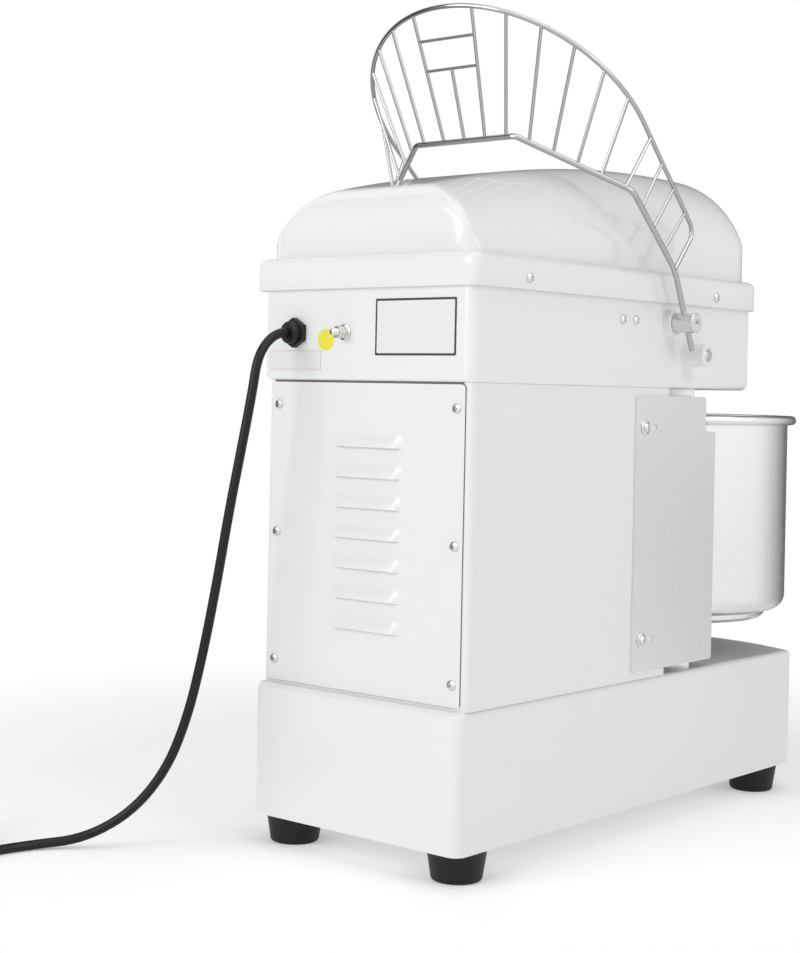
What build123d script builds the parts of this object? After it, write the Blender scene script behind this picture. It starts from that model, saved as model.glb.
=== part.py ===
from build123d import *
import os
from math import cos, pi, radians, sin, sqrt, tan

os.makedirs("parts", exist_ok=True)

# A small spiral dough mixer, in millimetres. +Z is up, -Y is the front, where the bowl is,
# and +X is the operator's right. The origin is on the floor, under the middle of the length
# and the width, with the wire guard swung up.

# ---- base
base_width = 226.0
base_length = 560.0
base_height = 112.0
base_bow = 29.0  # how far the front bows out past the side corners
base_corner = 10.5  # at the back
front_corner = 4.0  # where the bowed front of the base and the head meets the sides
base_edge = 5.0
base_wall = 2.0
foot_height = 25.0
foot_top_radius = 24.5
foot_bottom_radius = 20.5
foot_side_inset = 24.0  # a foot's axis, in from the base's side
foot_back_inset = 30.0
foot_front_inset = 60.0
foot_bolt_radius = 4.0

# ---- column and its back panel
column_inset = 1.5  # the column's side, in from the base's side
column_depth = 291.0
column_height = 258.0
column_setback = 10.0  # the column's back, in from the base's back
column_wall = 1.5
column_corner = 6.0
column_flange = 16.0  # the folded edge that the back panel is screwed to
panel_inset = 6.75  # the panel's side edge, in from the column's side
panel_gap = 4.5  # the dark line above and below the panel
panel_sheet = 1.2
panel_corner = 3.0
panel_screw_inset = 7.75
panel_screw_drop = 16.0

# ---- louvres pressed out of the back panel
louvre_count = 7
louvre_pitch = 25.0
louvre_length = 78.0
louvre_rise = 12.0
louvre_reach = 4.5
louvre_first_drop = 49.5  # the top louvre's lower lip, below the panel's top edge
louvre_shift = -4.0

# ---- head
head_lap = 4.5  # the head's side, out from the column's side
head_length = 459.0
head_setback = 5.0
head_bow = 35.0
head_corner = 10.5
head_edge = 6.0
head_wall = 2.0

# ---- cover
lip_overhang = 5.0
lip_wall = 3.0
lip_height = 27.0
lip_edge = 6.0
lip_front_corner = 9.0
lip_above_head_floor = 76.0
dome_inset = 8.0
crown_height = 100.0
crown_radius = 1370.0
crown_setback = 110.0  # the highest point, behind the dome's front
dome_side_radius = 50.0
dome_front_radius = 78.0
dome_front_corner = 12.0
dome_back_radius = 22.0

# ---- bowl
bowl_radius = 127.0
bowl_wall = 1.5
bowl_height = 191.0
bowl_corner = 15.0
bead_radius = 4.5
bowl_lift = 43.0  # the bowl's underside above the base
bowl_setback = 102.0  # the bowl's axis behind the base's front
carrier_radius = 107.0
carrier_height = 8.0

# ---- drive
shaft_radius = 10.0
running_clearance = 0.05  # radial, a shaft in its bearing
body_gap = 0.3  # between pieces that move past each other
chain_pitch = 9.525
chain_centres = 119.6
small_teeth = 12
hook_teeth = 24
large_teeth = 46
sprocket_width = 6.0
chain_thickness = 5.0
counter_level = 100.0
bowl_level = 55.0
hook_level = 421.0
belt_level = 440.0
belt_centres = 113.0
main_pulley_radius = 80.0
motor_pulley_radius = 25.0
pulley_width = 18.0
groove_depth = 8.0
belt_thickness = 7.0
belt_width = 9.0
unit_flange_radius = 30.0
unit_flange = 6.0
unit_boss_radius = 21.0
unit_boss = 12.0
motor_radius = 65.0
motor_length = 186.0
motor_shaft_radius = 8.0
motor_shelf_level = 352.0
motor_shelf_sheet = 5.0

# ---- spiral hook and breaker bar
hook_offset = 70.0  # the hook's axis behind the bowl's axis
hook_turn_radius = 40.0
hook_rod_radius = 8.0
hook_floor_gap = 2.5
hook_turns = 1.25
hub_radius = 17.0
hub_height = 42.0
hook_pin_radius = 3.0
breaker_offset = 10.0
breaker_radius = 9.0
breaker_floor_gap = 14.0
hook_housing_drop = 12.0  # how far the hook's bearing shows below the head

# ---- wire guard
pivot_behind_bowl = 171.0
pivot_above_head_floor = 58.4
guard_swing = 138.0  # from open, as here, to closed over the bowl
ring_start = 6.1  # the ring's ends, out from the arms
ring_reach = 179.5  # the ring's centre ahead of the pivot, with the guard closed
ring_drop = 67.4  # the ring's plane below the pivot, with the guard closed
ring_wire = 4.0
rail_wire = 5.0
bar_wire = 3.0
rung_wire = 2.6
arm_inset = 9.7  # the arm, out from the sleeve's inner face
arm_angle = 23.5  # the arm's slope, with the guard closed
arm_length = 50.4
arm_tail = 26.7
shoulder_spread = 4.4  # the rail's shoulders, out from the arms
shoulder_reach = 144.4
brow_half_width = 55.0
brow_reach = 217.1
brow_drop = 11.0
leg_spread = 0.1
leg_end_reach = 47.0
ring_bar_angle = 13.4
rung_shares = (0.21, 0.44)  # along the first bar, from the ring
ring_bar_count = 6
leg_bar_count = 4
leg_bar_pitch = 29.0
inner_bar_pitch = 22.6
rail_bar_pitch = 26.0
spacer_radius = 11.4
spacer_length = 7.4
spacer_bush_radius = 8.0
sleeve_radius = 8.8
sleeve_length = 21.2
pivot_shaft_radius = 6.0
set_screw_radius = 3.0
stop_radius = 10.4
stop_length = 22.9
stop_ahead = 30.4
stop_drop = 27.8

# ---- side plates and splash shield
plate_sheet = 1.5
plate_lap = 60.0  # how far the plate laps back over the column
plate_top_depth = 118.0
plate_step = 17.5
plate_step_drop = 32.0
plate_gap = 7.0  # below the head and above the base
plate_corner = 4.0
plate_screw_inset = 14.8
plate_screw_drop = 28.0
plate_slot = 24.0
shield_gap = 7.0  # between the shield and the column behind it
shield_half_width = 105.0
shield_sheet = 1.5

# ---- screws, gland, earth stud and controls
screw_head_radius = 4.2
screw_head_height = 2.6
screw_shank_radius = 2.0
cover_screw_from_back = 68.2
cover_screw_spacing = 291.0
bracket_screw_spacing = 20.4
bracket_screw_behind = 55.0
gland_offset = 75.2
gland_level = 434.9
gland_flats = 22.0
gland_nut = 5.0
gland_dome = 6.0
stud_offset = 20.0
stud_reach = 16.5
stud_radius = 3.0
start_setback = 60.0  # the start button, ahead of the head's back
stop_pitch = 36.0  # from each control to the next one ahead
emergency_pitch = 46.0
knob_pitch = 52.0
control_rise = 38.0  # the controls above the head's underside
button_radius = 11.0
button_travel = 4.0
knob_radius = 16.0

# ---- mains lead
cord_radius = 4.0
coil_mean_radius = 44.0
coil_turns_across = 2
coil_turns_high = 3
plug_radius = 18.0
plug_length = 46.0
plug_pin_radius = 2.4
plug_pin_length = 19.0
plug_pin_spacing = 19.0

# ---- places worked out from the sizes
base_bottom = foot_height
base_top = base_bottom + base_height
column_width = base_width - 2 * column_inset
panel_width = column_width - 2 * panel_inset
head_width = column_width + 2 * head_lap
rim_reach = bowl_radius - bowl_wall / 2 + 2 * bead_radius
base_back = (base_length + (rim_reach - bowl_setback) - (stud_reach - head_setback)) / 2
base_front = base_back - base_length
column_back = base_back - column_setback
column_front = column_back - column_depth
head_bottom = base_top + column_height
head_floor = head_bottom + head_wall
head_back = base_back - head_setback
head_front = head_back - head_length
lip_bottom = head_bottom + lip_above_head_floor
lip_top = lip_bottom + lip_height
cover_back = head_back + lip_overhang
cover_front = head_front - lip_overhang
cover_width = head_width + 2 * lip_overhang
bowl_y = base_front + bowl_setback
shield_radius = column_front - shield_gap - bowl_y
bowl_bottom = base_top + bowl_lift
bowl_floor = bowl_bottom + bowl_wall
bowl_rim = bowl_bottom + bowl_height
carrier_bottom = bowl_bottom - carrier_height
hook_y = bowl_y + hook_offset
breaker_y = bowl_y + breaker_offset
counter_y = bowl_y + chain_centres
main_y = counter_y + chain_centres
motor_y = main_y + belt_centres
pivot_y = bowl_y + pivot_behind_bowl
pivot_z = head_bottom + pivot_above_head_floor
head_side = head_width / 2
column_side = column_width / 2
spacer_face = head_side + spacer_length
sleeve_start = spacer_face + body_gap
arm_offset = sleeve_start + arm_inset
ring_radius = arm_offset + ring_start
shoulder_offset = arm_offset + shoulder_spread
leg_end_offset = arm_offset + leg_spread
stop_y = pivot_y - stop_ahead
stop_z = pivot_z - stop_drop
bore_radius = shaft_radius + running_clearance


# ---- forms that several pieces share
def bowed_outline(width, back, front, bow, corner, ahead_corner):
    """A plan outline with a straight back and sides and a front that bows out."""
    side = width / 2
    with BuildSketch() as outline:
        with BuildLine():
            Polyline((-side, front + bow), (-side, back), (side, back), (side, front + bow))
            ThreePointArc((side, front + bow), (0, front), (-side, front + bow))
        make_face()
        if corner > 0:
            fillet(outline.vertices().group_by(Axis.Y)[-1], corner)
        if ahead_corner > 0:
            fillet(outline.vertices().group_by(Axis.Y)[0], ahead_corner)
    return outline.sketch


def pan_screw(shank_length):
    """A pan head screw that stands on the XY plane, head up."""
    with BuildPart() as screw:
        Cylinder(screw_head_radius, screw_head_height, align=(Align.CENTER, Align.CENTER, Align.MIN))
        fillet(screw.faces().sort_by(Axis.Z)[-1].edges(), screw_head_height * 0.6)
        Cylinder(screw_shank_radius, shank_length, align=(Align.CENTER, Align.CENTER, Align.MAX))
    return screw.part


def pitch_radius(teeth):
    """The pitch circle of a chain wheel."""
    return chain_pitch / (2 * sin(pi / teeth))


def chain_wheel(teeth, level, y, bore):
    """A chain wheel with round gaps between its teeth, centred on a vertical shaft."""
    outer = pitch_radius(teeth) + chain_pitch * 0.25
    with BuildPart() as wheel:
        with BuildSketch(Plane.XY.offset(level - sprocket_width / 2)):
            with Locations((0, y)):
                Circle(outer)
                Circle(bore, mode=Mode.SUBTRACT)
                with PolarLocations(pitch_radius(teeth), teeth):
                    RegularPolygon(chain_pitch * 0.36, 6, mode=Mode.SUBTRACT)
        extrude(amount=sprocket_width)
    return wheel.part


def drive_loop(level, height, thickness, y_small, small, y_large, large):
    """A closed band round two wheels, with a gap between it and each of them."""
    with BuildSketch() as inner:
        with Locations((0, y_small)):
            Circle(small)
        with Locations((0, y_large)):
            Circle(large)
        make_hull()
    with BuildPart() as loop:
        with BuildSketch(Plane.XY.offset(level - height / 2)):
            add(inner.sketch)
            offset(amount=thickness)
            add(inner.sketch, mode=Mode.SUBTRACT)
        extrude(amount=height)
    return loop.part


def bearing_unit():
    """A flanged bearing that stands on the XY plane."""
    with BuildPart() as unit:
        Cylinder(unit_flange_radius, unit_flange, align=(Align.CENTER, Align.CENTER, Align.MIN))
        with Locations((0, 0, unit_flange)):
            Cylinder(unit_boss_radius, unit_boss, align=(Align.CENTER, Align.CENTER, Align.MIN))
        with Locations((0, 0, unit_flange + unit_boss)):
            Hole(bore_radius)
    return unit.part


def save(piece, name):
    """Label a finished piece and write its STEP file."""
    piece.part.label = name
    export_step(piece.part, "parts/" + name + ".step")


# ---- base: a painted sheet housing on four rubber feet, closed below by a plate
base_outline = bowed_outline(base_width, base_back, base_front, base_bow, base_corner, front_corner)
base_inside = bowed_outline(
    base_width - 2 * base_wall,
    base_back - base_wall,
    base_front + base_wall,
    base_bow,
    base_corner - base_wall,
    front_corner - base_wall,
)
barrel_radius = 3 * shaft_radius

with BuildPart() as base_housing:
    with BuildSketch(Plane.XY.offset(base_bottom)):
        add(base_outline)
    extrude(amount=base_height)
    fillet(base_housing.faces().sort_by(Axis.Z)[-1].edges(), base_edge)
    with BuildSketch(Plane.XY.offset(base_bottom)):
        add(base_inside)
    extrude(amount=base_height - base_wall, mode=Mode.SUBTRACT)
    with BuildSketch(Plane.XY.offset(base_top - base_wall)):
        with Locations((0, bowl_y)):
            Circle(barrel_radius)
        with Locations((0, main_y)):
            Circle(2 * shaft_radius)
    extrude(amount=base_wall, mode=Mode.SUBTRACT)
save(base_housing, "base_housing")

foot_x = base_width / 2 - foot_side_inset
foot_places = [
    (side * foot_x, y)
    for side in (-1, 1)
    for y in (base_back - foot_back_inset, base_front + foot_front_inset)
]

with BuildPart() as base_plate:
    with BuildSketch(Plane.XY.offset(base_bottom)):
        add(base_inside)
        with Locations(*foot_places):
            Circle(foot_bolt_radius, mode=Mode.SUBTRACT)
    extrude(amount=base_wall)
save(base_plate, "base_plate")

foot_recess = 8.0
with BuildPart() as rubber_feet:
    for x, y in foot_places:
        with BuildSketch(Plane((x, y, 0))):
            Circle(foot_bottom_radius)
        with BuildSketch(Plane((x, y, foot_height))):
            Circle(foot_top_radius)
        loft()
    fillet(rubber_feet.faces().group_by(Axis.Z)[0].edges(), 3)
    for x, y in foot_places:
        with BuildSketch(Plane((x, y, 0))):
            Circle(2 * foot_bolt_radius)
        extrude(amount=foot_recess, mode=Mode.SUBTRACT)
        with BuildSketch(Plane((x, y, foot_recess))):
            Circle(foot_bolt_radius)
        extrude(amount=foot_height, mode=Mode.SUBTRACT)
save(rubber_feet, "rubber_feet")

with BuildPart() as foot_bolts:
    for x, y in foot_places:
        with BuildSketch(Plane((x, y, foot_recess - foot_bolt_radius))):
            RegularPolygon(1.6 * foot_bolt_radius, 6)
        extrude(amount=foot_bolt_radius)
        with BuildSketch(Plane((x, y, foot_recess))):
            Circle(foot_bolt_radius)
        extrude(amount=foot_height + base_wall)
save(foot_bolts, "foot_bolts")

# ---- column: one folded sheet, open at the back, and the louvred panel that closes it
panel_face = column_back + panel_sheet
panel_height = column_height - 2 * panel_gap
panel_z = base_top + column_height / 2
screw_x = panel_width / 2 - panel_screw_inset
screw_z = panel_height / 2 - panel_screw_drop
panel_screw_places = [(x, z) for x in (-screw_x, screw_x) for z in (-screw_z, 0, screw_z)]

with BuildPart() as column_housing:
    with BuildSketch(Plane.XY.offset(base_top)):
        with Locations((0, column_front + column_depth / 2)):
            Rectangle(column_width, column_depth)
    extrude(amount=column_height)
    fillet(column_housing.edges().filter_by(Axis.Z), column_corner)
    with BuildSketch(Plane.XY.offset(base_top)):
        with Locations((0, column_front + column_depth / 2)):
            RectangleRounded(
                column_width - 2 * column_wall,
                column_depth - 2 * column_wall,
                column_corner - column_wall,
            )
    extrude(amount=column_height, mode=Mode.SUBTRACT)
    opening_width = panel_width - 2 * column_flange
    opening_height = panel_height - 2 * column_flange
    with BuildSketch(Plane((0, column_back, panel_z), x_dir=(-1, 0, 0), z_dir=(0, 1, 0))):
        Rectangle(opening_width, opening_height)
        with Locations(*panel_screw_places):
            Circle(screw_shank_radius)
    extrude(amount=-2 * column_wall, mode=Mode.SUBTRACT)
save(column_housing, "column_housing")

panel_plane = Plane((0, column_back, panel_z), x_dir=(-1, 0, 0), z_dir=(0, 1, 0))
louvre_top = panel_z + panel_height / 2 - louvre_first_drop
louvre_lips = [louvre_top - row * louvre_pitch for row in range(louvre_count)]
hood_wall = 1.0

with BuildPart() as rear_panel:
    with BuildSketch(panel_plane):
        RectangleRounded(panel_width, panel_height, panel_corner)
    extrude(amount=panel_sheet)
    with BuildSketch(panel_plane):
        with Locations(*panel_screw_places):
            Circle(screw_shank_radius)
    extrude(amount=panel_sheet, mode=Mode.SUBTRACT)
    for lip in louvre_lips:
        with BuildSketch(Plane((louvre_shift - louvre_length / 2, panel_face, lip), x_dir=(0, 1, 0), z_dir=(1, 0, 0))):
            with BuildLine():
                Line((0, 0), (louvre_reach, 0))
                ThreePointArc((louvre_reach, 0), (0.72 * louvre_reach, 0.55 * louvre_rise), (0, louvre_rise))
                Line((0, louvre_rise), (0, 0))
            make_face()
        extrude(amount=louvre_length)
    hood_ends = [
        edge
        for edge in rear_panel.edges().filter_by(GeomType.CIRCLE)
        if edge.center().Y > panel_face + 0.1 and abs(edge.center().X - louvre_shift) > louvre_length / 2 - 0.1
    ]
    fillet(hood_ends, 0.6 * louvre_reach)
    for lip in louvre_lips:
        inner_rise = louvre_rise - 2 * hood_wall
        inner_reach = louvre_reach - hood_wall
        inner_length = louvre_length - 2 * louvre_reach
        with BuildSketch(Plane((louvre_shift - inner_length / 2, panel_face, lip), x_dir=(0, 1, 0), z_dir=(1, 0, 0))):
            with BuildLine():
                Polyline((inner_reach, 0), (-2 * panel_sheet, 0), (-2 * panel_sheet, inner_rise), (0, inner_rise))
                ThreePointArc((inner_reach, 0), (0.7 * inner_reach, 0.55 * inner_rise), (0, inner_rise))
            make_face()
        extrude(amount=inner_length, mode=Mode.SUBTRACT)
save(rear_panel, "rear_panel")

panel_screw = pan_screw(2 * panel_sheet)
with BuildPart() as rear_panel_screws:
    with Locations(Plane((0, panel_face, panel_z), x_dir=(-1, 0, 0), z_dir=(0, 1, 0))):
        with Locations(*panel_screw_places):
            add(panel_screw)
save(rear_panel_screws, "rear_panel_screws")

# ---- head: an open-topped sheet box that carries the drive, the hook and the guard
head_outline = bowed_outline(head_width, head_back, head_front, head_bow, head_corner, front_corner)
head_inside = bowed_outline(
    head_width - 2 * head_wall,
    head_back - head_wall,
    head_front + head_wall,
    head_bow,
    head_corner - head_wall,
    front_corner - head_wall,
)
head_top = lip_top - lip_wall
cover_screw_y = [cover_back - cover_screw_from_back, cover_back - cover_screw_from_back - cover_screw_spacing]
cover_screw_z = lip_bottom + lip_height / 3
hook_barrel_radius = 2.5 * shaft_radius
breaker_thread_radius = breaker_radius - 3
bracket_screw_y = [pivot_y + bracket_screw_behind, pivot_y + bracket_screw_behind + bracket_screw_spacing]
start_y = head_back - start_setback
stop_button_y = start_y - stop_pitch
emergency_y = stop_button_y - emergency_pitch
knob_y = emergency_y - knob_pitch
control_z = head_bottom + control_rise
button_stem_radius = 5.0
control_hole_radius = button_stem_radius + running_clearance

with BuildPart() as head_housing:
    with BuildSketch(Plane.XY.offset(head_bottom)):
        add(head_outline)
    extrude(amount=head_top - head_bottom)
    fillet(head_housing.faces().sort_by(Axis.Z)[0].edges(), head_edge)
    with BuildSketch(Plane.XY.offset(head_floor)):
        add(head_inside)
    extrude(amount=head_top - head_floor, mode=Mode.SUBTRACT)
    with BuildSketch(Plane.XY.offset(head_bottom)):
        with Locations((0, main_y)):
            Circle(1.5 * shaft_radius)
        with Locations((0, motor_y)):
            Circle(2 * motor_shaft_radius)
        with Locations((0, hook_y)):
            Circle(hook_barrel_radius)
        with Locations((0, breaker_y)):
            Circle(breaker_thread_radius)
    extrude(amount=head_wall, mode=Mode.SUBTRACT)
    with BuildSketch(Plane.YZ.offset(-head_side)):
        with Locations((pivot_y, pivot_z)):
            Circle(spacer_bush_radius)
        with Locations((stop_y, stop_z), *[(y, cover_screw_z) for y in cover_screw_y]):
            Circle(screw_shank_radius)
    extrude(amount=head_width, mode=Mode.SUBTRACT)
    with BuildSketch(Plane.YZ.offset(-head_side)):
        with Locations(*[(y, pivot_z) for y in bracket_screw_y]):
            Circle(screw_shank_radius)
    extrude(amount=head_wall, mode=Mode.SUBTRACT)
    with BuildSketch(Plane.YZ.offset(head_side - head_wall)):
        with Locations(*[(y, control_z) for y in (start_y, stop_button_y, emergency_y, knob_y)]):
            Circle(control_hole_radius)
    extrude(amount=head_wall, mode=Mode.SUBTRACT)
    with BuildSketch(Plane((0, head_back, 0), x_dir=(-1, 0, 0), z_dir=(0, 1, 0))):
        with Locations((-gland_offset, gland_level)):
            Circle(2 * cord_radius)
        with Locations((-stud_offset, gland_level)):
            Circle(stud_radius)
    extrude(amount=-head_wall, mode=Mode.SUBTRACT)
save(head_housing, "head_housing")


# ---- cover: a moulded lid with a skirt that laps over the head, and a loaf-shaped crown
def dome_block(inset):
    """The crown's solid, drawn in on every side by the same amount."""
    width = cover_width - 2 * (dome_inset + inset)
    back = cover_back - dome_inset - inset
    front = cover_front + dome_inset + inset
    ahead = front - head_corner
    top = lip_top + crown_height - inset
    peak = cover_front + dome_inset + crown_setback
    radius = crown_radius - inset
    foot = lip_top - lip_wall
    back_top = top - radius + sqrt(radius**2 - (back - peak) ** 2)
    ahead_top = top - radius + sqrt(radius**2 - (ahead - peak) ** 2)
    with BuildPart() as block:
        with BuildSketch(Plane.YZ):
            with BuildLine():
                Polyline((ahead, ahead_top), (ahead, foot), (back, foot), (back, back_top))
                ThreePointArc((back, back_top), (peak, top), (ahead, ahead_top))
            make_face()
        extrude(amount=width / 2, both=True)
        with BuildSketch(Plane.XY.offset(foot)):
            add(bowed_outline(width, back, front, head_bow, 0, 0))
        extrude(amount=crown_height + lip_wall, mode=Mode.INTERSECT)
        fillet(block.faces().sort_by(Axis.Y)[0].edges().sort_by(Axis.Z)[-1], dome_front_radius - inset)
        curved_edges = [edge for edge in block.edges() if edge.geom_type != GeomType.LINE]
        crown_edges = [edge for edge in curved_edges if abs(edge.center().X) > width / 2 - 0.5]
        fillet(crown_edges, dome_side_radius - inset)
        with BuildSketch(Plane.XY.offset(foot)):
            add(bowed_outline(width, back, front, head_bow, 0, dome_front_corner - inset))
        extrude(amount=crown_height + lip_wall, mode=Mode.INTERSECT)
        back_face = block.faces().sort_by(Axis.Y)[-1]
        fillet([edge for edge in back_face.edges() if edge.center().Z > foot + 1], dome_back_radius - inset)
    return block.part


dome_outside = dome_block(0)
dome_inside = dome_block(lip_wall)
skirt_outline = bowed_outline(
    cover_width, cover_back, cover_front, head_bow, head_corner, lip_front_corner
)
skirt_inside = bowed_outline(
    cover_width - 2 * lip_wall,
    cover_back - lip_wall,
    cover_front + lip_wall,
    head_bow,
    head_corner - lip_wall,
    lip_front_corner - lip_wall,
)

with BuildPart() as head_cover:
    with BuildSketch(Plane.XY.offset(lip_bottom)):
        add(skirt_outline)
    extrude(amount=lip_height)
    fillet(head_cover.faces().sort_by(Axis.Z)[-1].edges(), lip_edge)
    add(dome_outside)
    with BuildSketch(Plane.XY.offset(lip_bottom)):
        add(skirt_inside)
    extrude(amount=lip_height - lip_wall, mode=Mode.SUBTRACT)
    add(dome_inside, mode=Mode.SUBTRACT)
    with BuildSketch(Plane.YZ.offset(-cover_width / 2)):
        with Locations(*[(y, cover_screw_z) for y in cover_screw_y]):
            Circle(screw_shank_radius)
    extrude(amount=cover_width, mode=Mode.SUBTRACT)
save(head_cover, "head_cover")

cover_screw = pan_screw(lip_overhang + head_wall)
with BuildPart() as cover_screws:
    for side in (-1, 1):
        plane = Plane((side * cover_width / 2, 0, cover_screw_z), x_dir=(0, 1, 0), z_dir=(side, 0, 0))
        with Locations(plane):
            with Locations(*[(y, 0) for y in cover_screw_y]):
                add(cover_screw)
save(cover_screws, "cover_screws")

# ---- side plates: bare sheets held by two screws in slots, and the shield behind the bowl
plate_back = column_front + plate_lap
plate_top = head_bottom - plate_gap
plate_bottom = base_top + plate_gap
plate_screw_y = plate_back - plate_screw_inset
plate_screw_places = [
    (plate_screw_y, plate_top - plate_screw_drop),
    (plate_screw_y, plate_bottom + plate_screw_drop),
]
washer_radius = 1.6 * screw_head_radius
washer_sheet = 1.0

with BuildPart() as side_plates:
    for side in (-1, 1):
        with BuildSketch(Plane.YZ.offset(side * column_side - (plate_sheet if side < 0 else 0))) as plate_face:
            top_front = plate_back - plate_top_depth
            low_front = top_front - plate_step
            step_z = plate_top - plate_step_drop
            with BuildLine():
                Polyline(
                    (plate_back, plate_bottom),
                    (plate_back, plate_top),
                    (top_front, plate_top),
                    (top_front, step_z),
                    (low_front, step_z),
                    (low_front, plate_bottom),
                    close=True,
                )
            make_face()
            fillet(plate_face.vertices(), plate_corner)
            with Locations(*[(y - plate_slot / 3, z) for y, z in plate_screw_places]):
                SlotOverall(plate_slot, 2 * screw_shank_radius + 2, mode=Mode.SUBTRACT)
        extrude(amount=plate_sheet)
save(side_plates, "side_plates")

with BuildPart() as side_plate_screws:
    for side in (-1, 1):
        face = side * (column_side + plate_sheet)
        plane = Plane((face, 0, 0), x_dir=(0, 1, 0), z_dir=(side, 0, 0))
        for y, z in plate_screw_places:
            with BuildSketch(plane):
                with Locations((y, side * z)):
                    Circle(washer_radius)
                    Circle(screw_shank_radius, mode=Mode.SUBTRACT)
            extrude(amount=washer_sheet)
    plate_screw = pan_screw(plate_sheet + washer_sheet)
    for side in (-1, 1):
        face = side * (column_side + plate_sheet + washer_sheet)
        with Locations(Plane((face, 0, 0), x_dir=(0, 1, 0), z_dir=(side, 0, 0))):
            with Locations(*[(y, side * z) for y, z in plate_screw_places]):
                add(plate_screw)
save(side_plate_screws, "side_plate_screws")

with BuildPart() as bowl_shield:
    with BuildSketch(Plane.XY.offset(base_top)):
        with Locations((0, bowl_y)):
            Circle(shield_radius + shield_sheet)
            Circle(shield_radius, mode=Mode.SUBTRACT)
        with Locations((0, bowl_y + shield_radius)):
            Rectangle(2 * shield_half_width, shield_radius, mode=Mode.INTERSECT)
    extrude(amount=column_height)
save(bowl_shield, "bowl_shield")

# ---- bowl: spun from sheet, with a beaded rim, on a carrier that turns on the base
with BuildPart() as bowl:
    with BuildSketch(Plane.XY.offset(bowl_bottom)):
        with Locations((0, bowl_y)):
            Circle(bowl_radius)
    extrude(amount=bowl_height - bead_radius)
    fillet(bowl.faces().sort_by(Axis.Z)[0].edges(), bowl_corner)
    offset(amount=-bowl_wall, openings=bowl.faces().sort_by(Axis.Z)[-1])
    with Locations((0, bowl_y, bowl_rim - bead_radius)):
        Torus(bowl_radius - bowl_wall / 2 + bead_radius, bead_radius)
save(bowl, "bowl")

carrier_rim = 3.0
with BuildPart() as bowl_carrier:
    with BuildSketch(Plane.XY.offset(carrier_bottom)):
        with Locations((0, bowl_y)):
            Circle(carrier_radius)
    extrude(amount=carrier_height)
    chamfer(bowl_carrier.faces().sort_by(Axis.Z)[0].edges(), carrier_rim)
save(bowl_carrier, "bowl_carrier")

bowl_flange_radius = 3.2 * shaft_radius
bowl_flange = 6.0
shaft_end_gap = 3.0
with BuildPart() as bowl_shaft:
    with BuildSketch(Plane.XY.offset(base_bottom + base_wall + shaft_end_gap)):
        with Locations((0, bowl_y)):
            Circle(shaft_radius)
    extrude(until=Until.NEXT, target=bowl_carrier.part)
    with BuildSketch(Plane.XY.offset(carrier_bottom - bowl_flange)):
        with Locations((0, bowl_y)):
            Circle(bowl_flange_radius)
    extrude(amount=bowl_flange)
save(bowl_shaft, "bowl_shaft")

housing_flange = 6.0
barrel_top = carrier_bottom - bowl_flange - body_gap
barrel_bottom = bowl_level + sprocket_width + chain_thickness
with BuildPart() as bowl_bearing_housing:
    with BuildSketch(Plane.XY.offset(barrel_bottom)):
        with Locations((0, bowl_y)):
            Circle(barrel_radius)
    extrude(amount=barrel_top - barrel_bottom)
    with BuildSketch(Plane.XY.offset(base_top)):
        with Locations((0, bowl_y)):
            Circle(1.6 * barrel_radius)
    extrude(amount=housing_flange)
    with BuildSketch(Plane.XY.offset(barrel_bottom)):
        with Locations((0, bowl_y)):
            Circle(bore_radius)
    extrude(amount=barrel_top - barrel_bottom, mode=Mode.SUBTRACT)
save(bowl_bearing_housing, "bowl_bearing_housing")

# ---- drive in the base: main shaft to countershaft to bowl shaft, each by a chain
floor_level = base_bottom + base_wall
wheel_tip = chain_pitch * 0.25
loop_gap = body_gap + wheel_tip
small_loop = pitch_radius(small_teeth) + loop_gap
large_loop = pitch_radius(large_teeth) + loop_gap
hook_loop = pitch_radius(hook_teeth) + loop_gap
unit_height = unit_flange + unit_boss
unit = bearing_unit()

with BuildPart() as shaft_bearings:
    with Locations((0, main_y, floor_level), (0, counter_y, floor_level), (0, main_y, head_floor)):
        add(unit)
    with Locations(Plane((0, counter_y, base_top - base_wall), z_dir=(0, 0, -1))):
        add(unit)
save(shaft_bearings, "shaft_bearings")

with BuildPart() as countershaft:
    with BuildSketch(Plane.XY.offset(floor_level + shaft_end_gap)):
        with Locations((0, counter_y)):
            Circle(shaft_radius)
    extrude(amount=base_top - base_wall - floor_level - 2 * shaft_end_gap)
    add(chain_wheel(small_teeth, bowl_level, counter_y, shaft_radius))
    add(chain_wheel(large_teeth, counter_level, counter_y, shaft_radius))
save(countershaft, "countershaft")

with BuildPart() as bowl_wheel:
    add(chain_wheel(large_teeth, bowl_level, bowl_y, shaft_radius))
save(bowl_wheel, "bowl_wheel")

with BuildPart() as bowl_chains:
    add(drive_loop(counter_level, sprocket_width, chain_thickness, main_y, small_loop, counter_y, large_loop))
    add(drive_loop(bowl_level, sprocket_width, chain_thickness, counter_y, small_loop, bowl_y, large_loop))
save(bowl_chains, "bowl_chains")

main_shaft_top = belt_level + pulley_width / 2 + shaft_end_gap
with BuildPart() as main_shaft:
    with BuildSketch(Plane.XY.offset(floor_level + shaft_end_gap)):
        with Locations((0, main_y)):
            Circle(shaft_radius)
    extrude(amount=main_shaft_top - floor_level - shaft_end_gap)
    add(chain_wheel(small_teeth, counter_level, main_y, shaft_radius))
    add(chain_wheel(small_teeth, hook_level, main_y, shaft_radius))
save(main_shaft, "main_shaft")


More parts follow.
